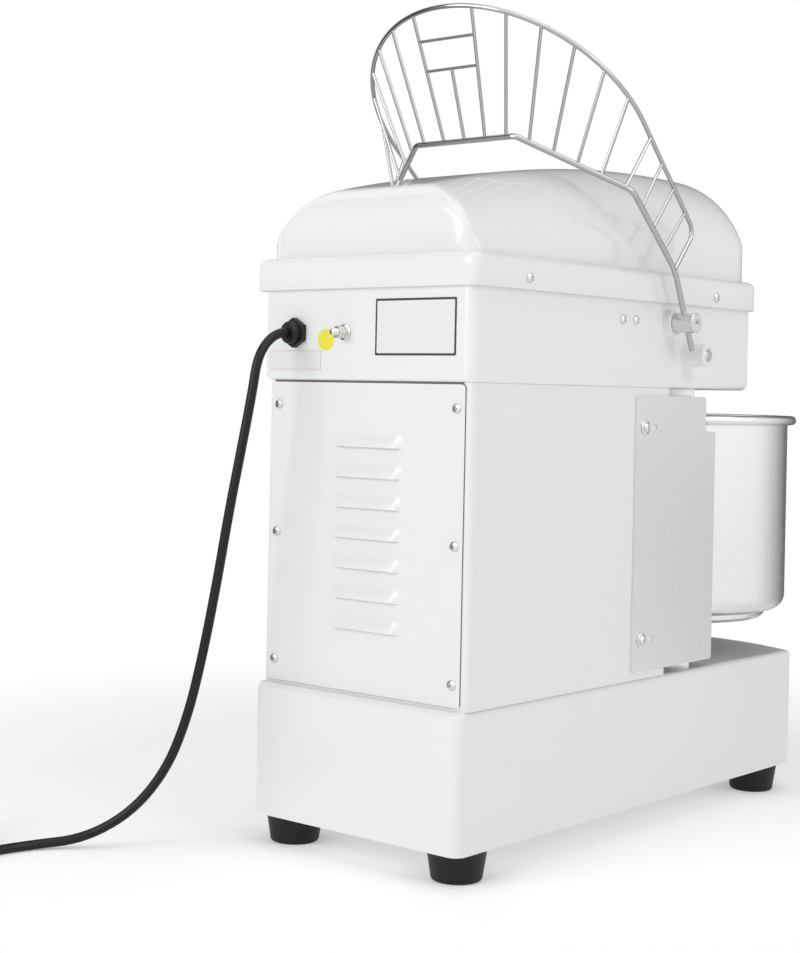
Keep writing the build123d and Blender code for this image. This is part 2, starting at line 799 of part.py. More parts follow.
# ---- drive in the head: a vee belt from the motor, and a chain on to the hook
def grooved_pulley(radius, y, bore):
    """A pulley with a vee groove for the belt."""
    half = pulley_width / 2
    mouth = belt_width / 2 + 2
    with BuildPart() as pulley:
        with BuildSketch(Plane.XZ.offset(-y)):
            with BuildLine():
                Polyline(
                    (bore, belt_level - half),
                    (radius, belt_level - half),
                    (radius, belt_level - mouth),
                    (radius - groove_depth, belt_level - belt_width / 2),
                    (radius - groove_depth, belt_level + belt_width / 2),
                    (radius, belt_level + mouth),
                    (radius, belt_level + half),
                    (bore, belt_level + half),
                    close=True,
                )
            make_face()
        revolve(axis=Axis((0, y, 0), (0, 0, 1)))
    return pulley.part


with BuildPart() as main_pulley:
    add(grooved_pulley(main_pulley_radius, main_y, shaft_radius))
save(main_pulley, "main_pulley")

with BuildPart() as motor_pulley:
    add(grooved_pulley(motor_pulley_radius, motor_y, motor_shaft_radius))
save(motor_pulley, "motor_pulley")

belt_gap = body_gap + 0.2
with BuildPart() as drive_belt:
    add(
        drive_loop(
            belt_level,
            belt_width - 2 * body_gap,
            belt_thickness,
            motor_y,
            motor_pulley_radius - groove_depth + belt_gap,
            main_y,
            main_pulley_radius - groove_depth + belt_gap,
        )
    )
save(drive_belt, "drive_belt")

motor_top = motor_shelf_level
motor_bottom = motor_top - motor_length
with BuildPart() as motor_shelf:
    with BuildSketch(Plane.XY.offset(motor_shelf_level)):
        with Locations((0, motor_y)):
            Rectangle(column_width - 2 * column_wall, 2 * motor_radius + 4 * motor_shaft_radius)
            Circle(2 * motor_shaft_radius, mode=Mode.SUBTRACT)
    extrude(amount=motor_shelf_sheet)
save(motor_shelf, "motor_shelf")

fin_count = 24
with BuildPart() as motor_body:
    with BuildSketch(Plane.XY.offset(motor_bottom)):
        with Locations((0, motor_y)):
            Circle(0.9 * motor_radius)
            with PolarLocations(0.93 * motor_radius, fin_count):
                Rectangle(0.14 * motor_radius, 2.0)
    extrude(amount=motor_length)
    with BuildSketch(Plane.XY.offset(motor_top - housing_flange)):
        with Locations((0, motor_y)):
            Circle(motor_radius)
    extrude(amount=housing_flange)
    with BuildSketch(Plane.XY.offset(motor_bottom)):
        with Locations((0, motor_y)):
            Circle(motor_radius)
    extrude(amount=motor_length / 5)
    with BuildSketch(Plane.XY.offset(motor_top)):
        with Locations((0, motor_y)):
            Circle(motor_shaft_radius + running_clearance)
    extrude(amount=-motor_length / 3, mode=Mode.SUBTRACT)
save(motor_body, "motor_body")

motor_shaft_bottom = motor_top - motor_length / 3 + shaft_end_gap
with BuildPart() as motor_shaft:
    with BuildSketch(Plane.XY.offset(motor_shaft_bottom)):
        with Locations((0, motor_y)):
            Circle(motor_shaft_radius)
    extrude(amount=main_shaft_top - motor_shaft_bottom)
save(motor_shaft, "motor_shaft")

with BuildPart() as hook_wheel:
    add(chain_wheel(hook_teeth, hook_level, hook_y, shaft_radius))
save(hook_wheel, "hook_wheel")

with BuildPart() as hook_chain:
    add(drive_loop(hook_level, sprocket_width, chain_thickness, main_y, small_loop, hook_y, hook_loop))
save(hook_chain, "hook_chain")

# ---- hook: a rod bent into a widening spiral under a pinned hub
housing_bottom = head_bottom - hook_housing_drop
housing_top = head_floor + unit_height - housing_flange
hub_top = housing_bottom - body_gap
hub_bottom = hub_top - hub_height
shaft_bottom = hub_bottom + hook_pin_radius * 2
pin_z = (shaft_bottom + hub_top) / 2

with BuildPart() as hook_bearing_housing:
    with BuildSketch(Plane.XY.offset(housing_bottom)):
        with Locations((0, hook_y)):
            Circle(hook_barrel_radius)
    extrude(amount=housing_top - housing_bottom)
    with BuildSketch(Plane.XY.offset(head_floor)):
        with Locations((0, hook_y)):
            Circle(1.7 * hook_barrel_radius)
    extrude(amount=housing_flange)
    with BuildSketch(Plane.XY.offset(housing_bottom)):
        with Locations((0, hook_y)):
            Circle(bore_radius)
    extrude(amount=housing_top - housing_bottom, mode=Mode.SUBTRACT)
save(hook_bearing_housing, "hook_bearing_housing")

pin_plane = Plane((0, hook_y, pin_z), z_dir=(1, 0, 0))
with BuildPart() as hook_shaft:
    with BuildSketch(Plane.XY.offset(shaft_bottom)):
        with Locations((0, hook_y)):
            Circle(shaft_radius)
    extrude(amount=hook_level + 2 * sprocket_width - shaft_bottom)
    with BuildSketch(pin_plane):
        Circle(hook_pin_radius)
    extrude(amount=hub_radius, both=True, mode=Mode.SUBTRACT)
save(hook_shaft, "hook_shaft")

with BuildPart() as hook_pin:
    with BuildSketch(pin_plane):
        Circle(hook_pin_radius)
    extrude(amount=hub_radius + 1, both=True)
save(hook_pin, "hook_pin")

spiral_top = hub_bottom + hook_rod_radius
spiral_bottom = bowl_floor + hook_floor_gap + hook_rod_radius
spiral_steps = 20
flare_part = 0.3  # the share of the turn over which the rod moves out from the axis
spiral_points = []
for step in range(spiral_steps + 1):
    share = step / spiral_steps
    out = min(share / flare_part, 1.0)
    reach = hook_turn_radius * (1 - (1 - out) ** 2)
    turn = radians(360 * hook_turns * share)
    height = spiral_top - (spiral_top - spiral_bottom) * share**0.9
    spiral_points.append((reach * cos(turn), hook_y + reach * sin(turn), height))

with BuildPart() as spiral_hook:
    with BuildSketch(Plane.XY.offset(hub_bottom)):
        with Locations((0, hook_y)):
            Circle(hub_radius)
    extrude(amount=hub_height)
    fillet(spiral_hook.faces().sort_by(Axis.Z)[0].edges(), hook_pin_radius)
    with BuildLine() as rod_path:
        Spline(*spiral_points)
    with BuildSketch(Plane(origin=rod_path.line @ 0, z_dir=rod_path.line % 0)):
        Circle(hook_rod_radius)
    sweep(path=rod_path.line)
    for end in (rod_path.line @ 0, rod_path.line @ 1):
        with Locations(end):
            Sphere(hook_rod_radius)
    with BuildSketch(Plane.XY.offset(shaft_bottom)):
        with Locations((0, hook_y)):
            Circle(shaft_radius)
    extrude(amount=hub_height, mode=Mode.SUBTRACT)
    with BuildSketch(pin_plane):
        Circle(hook_pin_radius)
    extrude(amount=hub_radius, both=True, mode=Mode.SUBTRACT)
save(spiral_hook, "spiral_hook")

breaker_collar = 6.0
breaker_nut = 7.0
with BuildPart() as breaker_bar:
    with BuildSketch(Plane.XY.offset(bowl_floor + breaker_floor_gap)):
        with Locations((0, breaker_y)):
            Circle(breaker_radius)
    extrude(amount=head_bottom - bowl_floor - breaker_floor_gap)
    fillet(breaker_bar.faces().sort_by(Axis.Z)[0].edges(), breaker_radius / 3)
    with BuildSketch(Plane.XY.offset(head_bottom - breaker_collar)):
        with Locations((0, breaker_y)):
            Circle(breaker_radius + 3)
    extrude(amount=breaker_collar)
    with BuildSketch(Plane.XY.offset(head_bottom)):
        with Locations((0, breaker_y)):
            Circle(breaker_thread_radius)
    extrude(amount=head_wall + breaker_nut + 2)
    with BuildSketch(Plane.XY.offset(head_floor)):
        with Locations((0, breaker_y)):
            RegularPolygon(breaker_radius + 1, 6)
    extrude(amount=breaker_nut)
save(breaker_bar, "breaker_bar")

# ---- wire guard: bent and welded wire that swings up and back on two short shafts.
# Its plane is drawn as it stands open. X runs across, Y runs out from the pivot along the
# ring, and Z is the height below the pivot when the guard is closed.
open_tilt = radians(180 - guard_swing)
guard_plane = Plane((0, pivot_y, pivot_z), x_dir=(1, 0, 0), z_dir=(0, -sin(open_tilt), cos(open_tilt)))
arm_slope = radians(arm_angle)
bend_reach = arm_length * cos(arm_slope)
bend_drop = arm_length * sin(arm_slope)
shoulder_share = (shoulder_reach - bend_reach) / (brow_reach - bend_reach)
shoulder_drop = bend_drop + (brow_drop - bend_drop) * shoulder_share
arm_bend_radius = 45.0
shoulder_bend_radius = 14.0
brow_bend_radius = 9.0
leg_bend_radius = 12.0
leg_start = (ring_radius, ring_reach, ring_drop)
leg_end = (leg_end_offset, leg_end_reach, ring_drop)


def across(point):
    """The same point on the machine's other side."""
    return (-point[0], point[1], point[2])


tip = (arm_offset, -arm_tail * cos(arm_slope), -arm_tail * sin(arm_slope))
bend = (arm_offset, bend_reach, bend_drop)
shoulder = (shoulder_offset, shoulder_reach, shoulder_drop)
brow = (brow_half_width, brow_reach, brow_drop)
rail_bends = [
    arm_bend_radius,
    shoulder_bend_radius,
    brow_bend_radius,
    brow_bend_radius,
    shoulder_bend_radius,
    arm_bend_radius,
]

with BuildLine() as rail:
    FilletPolyline(
        tip, bend, shoulder, brow, across(brow), across(shoulder), across(bend), across(tip),
        radius=rail_bends,
    )

with BuildLine() as ring:
    FilletPolyline(bend, leg_end, leg_start, radius=[leg_bend_radius])
    ThreePointArc(leg_start, (0, ring_reach + ring_radius, ring_drop), across(leg_start))
    FilletPolyline(across(leg_start), across(leg_end), across(bend), radius=[leg_bend_radius])

# the bars: evenly pitched along the ring and along the inner rail, from the middle outwards
rail_middle = rail.wire().length / 2
bars = []
for number in range(1, ring_bar_count + 1):
    around = radians(ring_bar_angle * number)
    outer = (ring_radius * sin(around), ring_reach + ring_radius * cos(around), ring_drop)
    inner = rail.wire().position_at(rail_middle - inner_bar_pitch * number, PositionMode.LENGTH)
    bars.append((outer, tuple(inner)))
for number in range(leg_bar_count):
    reach = ring_reach - leg_bar_pitch * (number + 0.75)
    outer = (leg_end_offset + (ring_radius - leg_end_offset) * (reach - leg_end_reach)
             / (ring_reach - leg_end_reach), reach, ring_drop)
    inner_distance = inner_bar_pitch * (ring_bar_count + 1) + rail_bar_pitch * number
    inner = rail.wire().position_at(rail_middle - inner_distance, PositionMode.LENGTH)
    bars.append((outer, tuple(inner)))
bars = bars + [(across(outer), across(inner)) for outer, inner in bars]

# two rungs in the middle, between the first bar on each side, and a post below them
first_outer, first_inner = bars[0]
rungs = []
for share in rung_shares:
    post = tuple(a + (b - a) * share for a, b in zip(first_outer, first_inner))
    rungs.append((post, across(post)))
lower_rung = rungs[1][0]
bars.append(((0, lower_rung[1], lower_rung[2]), (0, brow_reach, brow_drop)))

rail_path = guard_plane.from_local_coords(rail.wire())
ring_path = guard_plane.from_local_coords(ring.wire())
with BuildPart() as guard_rail:
    with BuildSketch(Plane(origin=rail_path @ 0, z_dir=rail_path % 0)):
        Circle(rail_wire / 2)
    sweep(path=rail_path)
save(guard_rail, "guard_rail")

with BuildPart() as guard_ring:
    with BuildSketch(Plane(origin=ring_path @ 0, z_dir=ring_path % 0)):
        Circle(ring_wire / 2)
    sweep(path=ring_path)
save(guard_ring, "guard_ring")

with BuildPart() as guard_bars:
    for wires, width in ((rungs, rung_wire), (bars, bar_wire)):
        for start, end in wires:
            first = guard_plane.from_local_coords(Vector(start))
            last = guard_plane.from_local_coords(Vector(end))
            with BuildSketch(Plane(origin=first, z_dir=last - first)):
                Circle(width / 2)
            extrude(amount=(last - first).length)
save(guard_bars, "guard_bars")

cam_width = 6.0
cam_radius = 15.0
cam_start = head_side - head_wall - spacer_length - cam_width
shaft_inner_end = cam_start - 2
shaft_outer_end = arm_offset - rail_wire / 2 - 1

with BuildPart() as guard_pivot_shafts:
    for side in (-1, 1):
        with BuildSketch(Plane((side * shaft_inner_end, pivot_y, pivot_z), z_dir=(side, 0, 0))):
            Circle(pivot_shaft_radius)
        extrude(amount=shaft_outer_end - shaft_inner_end)
save(guard_pivot_shafts, "guard_pivot_shafts")

arm_direction = guard_plane.from_local_coords(Vector(bend)) - Vector(arm_offset, pivot_y, pivot_z)
with BuildPart() as guard_sleeves:
    for side in (-1, 1):
        with BuildSketch(Plane((side * sleeve_start, pivot_y, pivot_z), z_dir=(side, 0, 0))):
            Circle(sleeve_radius)
        extrude(amount=sleeve_length)
    chamfer(guard_sleeves.edges().filter_by(GeomType.CIRCLE), 0.6)
    for side in (-1, 1):
        with BuildSketch(Plane((side * sleeve_start, pivot_y, pivot_z), z_dir=(side, 0, 0))):
            Circle(pivot_shaft_radius)
        extrude(amount=shaft_outer_end - sleeve_start, mode=Mode.SUBTRACT)
        with BuildSketch(Plane((side * arm_offset, pivot_y, pivot_z), z_dir=arm_direction)):
            Circle(rail_wire / 2)
        extrude(amount=2 * sleeve_radius, both=True, mode=Mode.SUBTRACT)
        with BuildSketch(Plane((side * (sleeve_start + sleeve_length), pivot_y, pivot_z), z_dir=(side, 0, 0))):
            Circle(set_screw_radius)
        extrude(amount=arm_offset + rail_wire / 2 - sleeve_start - sleeve_length, mode=Mode.SUBTRACT)
save(guard_sleeves, "guard_sleeves")

screw_recess = 1.5
with BuildPart() as guard_set_screws:
    for side in (-1, 1):
        outer_face = sleeve_start + sleeve_length - screw_recess
        with BuildSketch(Plane((side * outer_face, pivot_y, pivot_z), z_dir=(-side, 0, 0))):
            Circle(set_screw_radius)
        extrude(amount=outer_face - arm_offset - rail_wire / 2)
        with BuildSketch(Plane((side * outer_face, pivot_y, pivot_z), z_dir=(-side, 0, 0))):
            RegularPolygon(set_screw_radius * 0.55, 6)
        extrude(amount=set_screw_radius, mode=Mode.SUBTRACT)
save(guard_set_screws, "guard_set_screws")

with BuildPart() as guard_spacers:
    for side in (-1, 1):
        with BuildSketch(Plane((side * head_side, pivot_y, pivot_z), z_dir=(side, 0, 0))):
            Circle(spacer_radius)
        extrude(amount=spacer_length)
    fillet(guard_spacers.faces().sort_by(Axis.X)[0].edges(), 1.0)
    fillet(guard_spacers.faces().sort_by(Axis.X)[-1].edges(), 1.0)
    for side in (-1, 1):
        inner_end = head_side - head_wall - spacer_length + body_gap
        with BuildSketch(Plane((side * head_side, pivot_y, pivot_z), z_dir=(-side, 0, 0))):
            Circle(spacer_bush_radius)
        extrude(amount=head_side - inner_end)
        with BuildSketch(Plane((side * spacer_face, pivot_y, pivot_z), z_dir=(-side, 0, 0))):
            Circle(pivot_shaft_radius + running_clearance)
        extrude(amount=spacer_face - inner_end, mode=Mode.SUBTRACT)
save(guard_spacers, "guard_spacers")

with BuildPart() as switch_cam:
    with BuildSketch(Plane((-cam_start, pivot_y, pivot_z), z_dir=(-1, 0, 0))) as cam_face:
        Circle(cam_radius)
        with Locations((cam_radius, 0)):
            Rectangle(cam_radius * 0.4, 2 * cam_radius, mode=Mode.SUBTRACT)
        Circle(pivot_shaft_radius, mode=Mode.SUBTRACT)
    extrude(amount=cam_width)
save(switch_cam, "switch_cam")

stop_bore_depth = 4.0
stop_recess_radius = 0.6 * stop_radius
with BuildPart() as stop_rollers:
    for side in (-1, 1):
        with BuildSketch(Plane((side * head_side, stop_y, stop_z), z_dir=(side, 0, 0))):
            Circle(stop_radius)
            Circle(screw_shank_radius, mode=Mode.SUBTRACT)
        extrude(amount=stop_length)
    fillet(stop_rollers.faces().sort_by(Axis.X)[0].edges().sort_by(SortBy.LENGTH)[-1], 1.5)
    fillet(stop_rollers.faces().sort_by(Axis.X)[-1].edges().sort_by(SortBy.LENGTH)[-1], 1.5)
    for side in (-1, 1):
        with BuildSketch(Plane((side * (head_side + stop_length), stop_y, stop_z), z_dir=(-side, 0, 0))):
            Circle(stop_recess_radius)
        extrude(amount=stop_bore_depth, mode=Mode.SUBTRACT)
save(stop_rollers, "stop_rollers")

stop_screw = pan_screw(stop_length - stop_bore_depth + head_wall)
with BuildPart() as stop_roller_screws:
    for side in (-1, 1):
        place = Plane((side * (head_side + stop_length - stop_bore_depth), stop_y, stop_z), z_dir=(side, 0, 0))
        with Locations(place):
            add(stop_screw)
save(stop_roller_screws, "stop_roller_screws")

# ---- interlock switch inside the head, on an angle bracket held by two screws
bracket_sheet = 2.0
bracket_face = head_side - head_wall
switch_y = pivot_y + cam_radius + 8
bracket_back = bracket_screw_y[1] + 8
bracket_length = bracket_back - (switch_y - 4)
bracket_leg = 24.0
with BuildPart() as switch_bracket:
    with BuildSketch(Plane((-bracket_face, bracket_back - bracket_length / 2, pivot_z), z_dir=(1, 0, 0), x_dir=(0, 1, 0))):
        Rectangle(bracket_length, bracket_leg)
        with Locations(*[(y - bracket_back + bracket_length / 2, 0) for y in bracket_screw_y]):
            Circle(screw_shank_radius, mode=Mode.SUBTRACT)
    extrude(amount=bracket_sheet)
    with BuildSketch(Plane((-bracket_face, switch_y + 14, pivot_z - bracket_leg / 2), z_dir=(0, 0, 1))):
        Rectangle(bracket_leg, 28, align=(Align.MIN, Align.CENTER))
    extrude(amount=bracket_sheet)
save(switch_bracket, "switch_bracket")

bracket_screw = pan_screw(head_wall + 2 * bracket_sheet)
with BuildPart() as switch_bracket_screws:
    with Locations(*[Plane((-head_side, y, pivot_z), z_dir=(-1, 0, 0)) for y in bracket_screw_y]):
        add(bracket_screw)
save(switch_bracket_screws, "switch_bracket_screws")

with BuildPart() as safety_switch:
    with BuildSketch(Plane((-cam_start - cam_width / 2, switch_y, pivot_z), z_dir=(0, 1, 0), x_dir=(1, 0, 0))):
        Rectangle(12, bracket_leg - 2 * bracket_sheet)
    extrude(amount=27)
    with BuildSketch(Plane((-cam_start - cam_width / 2, switch_y, pivot_z), z_dir=(0, -1, 0))):
        Circle(2)
    extrude(amount=switch_y - pivot_y - cam_radius - body_gap)
save(safety_switch, "safety_switch")

# ---- controls on the operator's side of the head
with BuildPart() as control_bezels:
    for y, radius in ((start_y, button_radius), (stop_button_y, button_radius), (emergency_y, button_radius)):
        with BuildSketch(Plane.YZ.offset(head_side)):
            with Locations((y, control_z)):
                Circle(radius + 3.5)
                Circle(radius + body_gap, mode=Mode.SUBTRACT)
        extrude(amount=4)
save(control_bezels, "control_bezels")


def push_button(y, cap_radius, cap_start, cap_height):
    """A round button on a stem that slides through the head's side."""
    with BuildPart() as button:
        with BuildSketch(Plane.YZ.offset(head_side - 12)):
            with Locations((y, control_z)):
                Circle(button_stem_radius)
        extrude(amount=12 + cap_start)
        with BuildSketch(Plane.YZ.offset(head_side + cap_start)):
            with Locations((y, control_z)):
                Circle(cap_radius)
        extrude(amount=cap_height)
        fillet(button.faces().sort_by(Axis.X)[-1].edges(), cap_height / 4)
    return button.part


cap_start = button_travel + body_gap
with BuildPart() as start_button:
    add(push_button(start_y, button_radius, cap_start, 4))
save(start_button, "start_button")

with BuildPart() as stop_button:
    add(push_button(stop_button_y, button_radius, cap_start, 4))
save(stop_button, "stop_button")

with BuildPart() as emergency_stop:
    add(push_button(emergency_y, button_radius, cap_start, 6))
    with BuildSketch(Plane.YZ.offset(head_side + cap_start + 4)):
        with Locations((emergency_y, control_z)):
            Circle(1.6 * button_radius)
    extrude(amount=8)
    fillet(emergency_stop.faces().sort_by(Axis.X)[-1].edges(), 3)
save(emergency_stop, "emergency_stop")

with BuildPart() as timer_knob:
    with BuildSketch(Plane.YZ.offset(head_side - 12)):
        with Locations((knob_y, control_z)):
            Circle(button_stem_radius)
    extrude(amount=12 + body_gap)
    with BuildSketch(Plane.YZ.offset(head_side + body_gap)):
        with Locations((knob_y, control_z)):
            Circle(knob_radius)
    extrude(amount=3)
    with BuildSketch(Plane.YZ.offset(head_side + body_gap + 3)):
        with Locations((knob_y, control_z)):
            Circle(0.75 * knob_radius)
            Rectangle(0.5 * knob_radius, 1.9 * knob_radius)
    extrude(amount=12)
save(timer_knob, "timer_knob")

# ---- electrics at the back of the head
contactor_shift = -55.0
contactor_width = 45.0
contactor_depth = 38.0
contactor_height = 40.0
with BuildPart() as contactor:
    with BuildSketch(Plane.XY.offset(head_floor)):
        with Locations((contactor_shift, head_back - head_wall - contactor_depth / 2)):
            Rectangle(contactor_width, contactor_depth)
    extrude(amount=contactor_height)
    chamfer(contactor.edges().filter_by(Axis.X), 3)
save(contactor, "contactor")

gland_plane = Plane((gland_offset, head_back, gland_level), z_dir=(0, 1, 0))
gland_end = head_back + gland_nut + gland_dome
with BuildPart() as cable_gland:
    with BuildSketch(gland_plane):
        RegularPolygon(gland_flats / 2, 6, major_radius=False)
    extrude(amount=gland_nut)
    with BuildSketch(gland_plane.offset(gland_nut)):
        Circle(0.43 * gland_flats)
    extrude(amount=gland_dome)
    fillet(cable_gland.faces().sort_by(Axis.Y)[-1].edges(), gland_dome / 3)
    with BuildSketch(gland_plane):
        Circle(2 * cord_radius)
    extrude(amount=-head_wall)
    with BuildSketch(gland_plane.offset(-head_wall)):
        RegularPolygon(gland_flats / 2, 6, major_radius=False)
    extrude(amount=-gland_nut)
save(cable_gland, "cable_gland")

stud_plane = Plane((stud_offset, head_back, gland_level), z_dir=(0, 1, 0))
nut_height = 5.0
with BuildPart() as earth_stud:
    with BuildSketch(stud_plane.offset(-head_wall - nut_height)):
        RegularPolygon(2 * stud_radius, 6)
    extrude(amount=nut_height)
    with BuildSketch(stud_plane.offset(-head_wall)):
        Circle(stud_radius)
    extrude(amount=head_wall + stud_reach)
    chamfer(earth_stud.faces().sort_by(Axis.Y)[-1].edges(), 0.6 * stud_radius)
    with BuildSketch(stud_plane):
        Circle(2 * stud_radius)
    extrude(amount=1.2)
    with BuildSketch(stud_plane.offset(1.2)):
        RegularPolygon(1.8 * stud_radius, 6)
    extrude(amount=nut_height)
    with BuildSketch(stud_plane.offset(1.2 + nut_height)):
        Circle(1.8 * stud_radius)
    extrude(amount=1.2)
save(earth_stud, "earth_stud")

# ---- mains lead: hangs from the gland and runs over the floor to a tied coil.
# Its points are (x, y, z), with y measured back from the base's back.
lead_start = gland_end - base_back
lead_points = [
    (gland_offset, lead_start, gland_level),
    (gland_offset, 24.0, gland_level),
    (75.5, 41.6, 427.8),
    (76.5, 55.3, 414.6),
    (78.5, 63.0, 397.3),
    (81.0, 64.8, 373.5),
    (85.0, 64.0, 338.0),
    (92.0, 61.5, 284.0),
    (101.0, 61.5, 226.0),
    (112.0, 64.0, 165.0),
    (124.0, 69.5, 112.0),
    (140.0, 80.0, 66.0),
    (163.0, 98.0, 30.0),
    (193.0, 121.0, 8.0),
    (219.0, 150.0, cord_radius),
    (227.0, 188.0, cord_radius),
    (227.0, 226.0, cord_radius),
]
lead_points = [Vector(x, base_back + y, z) for x, y, z in lead_points]
lead_runs = [b - a for a, b in zip(lead_points, lead_points[1:])]
lead_radii = []
for before, after in zip(lead_runs, lead_runs[1:]):
    half_turn = radians(before.get_angle(after)) / 2
    lead_radii.append(0.45 * min(before.length, after.length) / tan(half_turn))
print("bend radii of the lead:", [round(radius, 1) for radius in lead_radii])

with BuildPart() as power_cord:
    with BuildLine() as lead_path:
        FilletPolyline(*lead_points, radius=lead_radii)
    with BuildSketch(Plane(origin=lead_path.wire() @ 0, z_dir=lead_path.wire() % 0)):
        Circle(cord_radius)
    sweep(path=lead_path.wire())
print("lead volume:", power_cord.part.volume, "of", lead_path.wire().length * pi * cord_radius**2)
save(power_cord, "power_cord")

coil_inner = coil_mean_radius - coil_turns_across * cord_radius
coil_outer = coil_mean_radius + coil_turns_across * cord_radius
coil_height = coil_turns_high * 2 * cord_radius
coil_x = lead_points[-1].X + coil_outer - cord_radius
coil_y = lead_points[-1].Y
tie_sheet = 0.8
tie_width = 12.0
tie_plane = Plane((coil_x, coil_y - coil_mean_radius, 0), x_dir=(0, 1, 0), z_dir=(1, 0, 0))
tie_span = coil_outer - coil_inner + tie_sheet
with BuildPart() as cord_tie:
    with BuildSketch(tie_plane):
        Rectangle(tie_span, coil_height + tie_sheet, align=(Align.CENTER, Align.MIN))
        with Locations((0, tie_sheet)):
            Rectangle(tie_span - 2 * tie_sheet, coil_height - tie_sheet, align=(Align.CENTER, Align.MIN),
                      mode=Mode.SUBTRACT)
    extrude(amount=tie_width / 2, both=True)
save(cord_tie, "cord_tie")

with BuildPart() as cord_coil:
    with BuildSketch():
        with Locations((coil_x, coil_y)):
            Circle(coil_outer)
            Circle(coil_inner, mode=Mode.SUBTRACT)
    extrude(amount=coil_height)
    add(cord_tie.part, mode=Mode.SUBTRACT)
save(cord_coil, "cord_coil")

# the plug lies along the top of the coil, with its pins towards the machine's front
plug_plane = Plane((coil_x + coil_inner, coil_y + plug_length / 4, coil_height + plug_radius), z_dir=(0, -1, 0))
plug_face = plug_plane.offset(plug_length)
plug_waist = 0.6 * plug_length
with BuildPart() as mains_plug:
    with BuildSketch(plug_plane.offset(plug_waist)):
        Circle(plug_radius)
    extrude(amount=plug_length - plug_waist)
    with BuildSketch(plug_plane):
        Circle(2 * cord_radius)
    with BuildSketch(plug_plane.offset(plug_waist)):
        Circle(plug_radius)
    loft()
    with BuildSketch(plug_face):
        with Locations((-plug_pin_spacing / 2, 0), (plug_pin_spacing / 2, 0)):
            Circle(plug_pin_radius)
    extrude(amount=plug_pin_length)
save(mains_plug, "mains_plug")
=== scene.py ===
from math import atan, cos, pi, radians, sin

import bmesh
import bpy
from mathutils import Matrix, Vector


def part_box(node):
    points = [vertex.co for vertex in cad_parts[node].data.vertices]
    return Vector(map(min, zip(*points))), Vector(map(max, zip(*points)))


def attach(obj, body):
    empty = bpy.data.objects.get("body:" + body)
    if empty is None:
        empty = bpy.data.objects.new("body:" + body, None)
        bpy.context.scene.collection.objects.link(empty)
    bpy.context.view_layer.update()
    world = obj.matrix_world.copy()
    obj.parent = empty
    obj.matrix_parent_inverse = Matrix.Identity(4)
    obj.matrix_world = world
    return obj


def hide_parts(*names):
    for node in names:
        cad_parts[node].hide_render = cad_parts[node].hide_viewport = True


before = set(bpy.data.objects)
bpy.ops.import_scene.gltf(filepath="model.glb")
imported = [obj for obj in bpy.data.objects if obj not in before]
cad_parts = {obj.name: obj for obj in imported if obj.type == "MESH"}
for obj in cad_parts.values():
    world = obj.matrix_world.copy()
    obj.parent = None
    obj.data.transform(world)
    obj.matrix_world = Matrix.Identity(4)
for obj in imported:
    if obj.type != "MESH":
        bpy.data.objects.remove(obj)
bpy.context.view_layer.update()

# ---- camera
# It stands level behind the machine's left back corner, at about the height of the head,
# and leans over by about a degree.
camera_place = Vector((-0.9718, 1.3797, 0.3849))
camera_look = Vector((0.648, -0.7615, 0.0))
camera_lean = atan(0.02056)

camera = bpy.data.objects.new("camera", bpy.data.cameras.new("camera"))
bpy.context.scene.collection.objects.link(camera)
camera.data.sensor_fit = "VERTICAL"
camera.data.sensor_height = 36.0
camera.data.lens = 67.58
camera.data.shift_y = -0.0864
camera.location = camera_place
camera.rotation_mode = "QUATERNION"
aim = camera_look.to_track_quat("-Z", "Y")
camera.rotation_quaternion = aim @ Matrix.Rotation(camera_lean, 3, "Z").to_quaternion()
bpy.context.scene.camera = camera
bpy.context.scene.view_settings.view_transform = "Standard"

# ---- studio
# A white room and floor, lit by large soft lamps: one high behind the machine, one overhead and
# a weak one at its left. Metal mirrors dark stretches of wall, which the camera sees as white.
room_glow = 0.42  # what lights the machine
mirror_gain = 0.25  # how much brighter metal shows the room than the camera sees it


def walls_round(tree, coordinate):
    """The level of light round the room by bearing: soft boxes with dark walls between them."""
    turn = tree.nodes.new("ShaderNodeTexGradient")
    turn.gradient_type = "RADIAL"
    ramp = tree.nodes.new("ShaderNodeValToRGB")
    stops = (
        (0.0, 1.0),
        (0.12, 1.0),
        (0.26, 0.1),
        (0.38, 0.08),
        (0.43, 0.9),
        (0.5, 0.9),
        (0.54, 0.12),
        (0.62, 0.12),
        (0.68, 1.0),
    )
    for place, level in stops[2:]:  # a new ramp has two of its own
        ramp.color_ramp.elements.new(place)
    for stop, (place, level) in zip(ramp.color_ramp.elements, stops):
        stop.position = place
        stop.color = (level, level, level, 1.0)
    tree.links.new(coordinate, turn.inputs["Vector"])
    tree.links.new(turn.outputs["Fac"], ramp.inputs["Fac"])
    return ramp.outputs["Color"]


world = bpy.data.worlds.new("studio")
bpy.context.scene.world = world
world.use_nodes = True
sky = world.node_tree.nodes
sky.clear()
sky_links = world.node_tree.links
sky_out = sky.new("ShaderNodeOutputWorld")
sky_ray = sky.new("ShaderNodeLightPath")
sky_place = sky.new("ShaderNodeTexCoord")
room_light = sky.new("ShaderNodeBackground")
room_light.inputs["Color"].default_value = (1.0, 1.0, 1.0, 1.0)
room_light.inputs["Strength"].default_value = room_glow
room_seen = sky.new("ShaderNodeBackground")
light_or_seen = sky.new("ShaderNodeMixShader")
mirror_or_glass = sky.new("ShaderNodeMath")
mirror_or_glass.operation = "MAXIMUM"
seen = sky.new("ShaderNodeMath")
seen.operation = "MAXIMUM"
sky_links.new(sky_ray.outputs["Is Glossy Ray"], mirror_or_glass.inputs[0])
sky_links.new(sky_ray.outputs["Is Transmission Ray"], mirror_or_glass.inputs[1])
sky_links.new(mirror_or_glass.outputs[0], seen.inputs[0])
sky_links.new(sky_ray.outputs["Is Camera Ray"], seen.inputs[1])
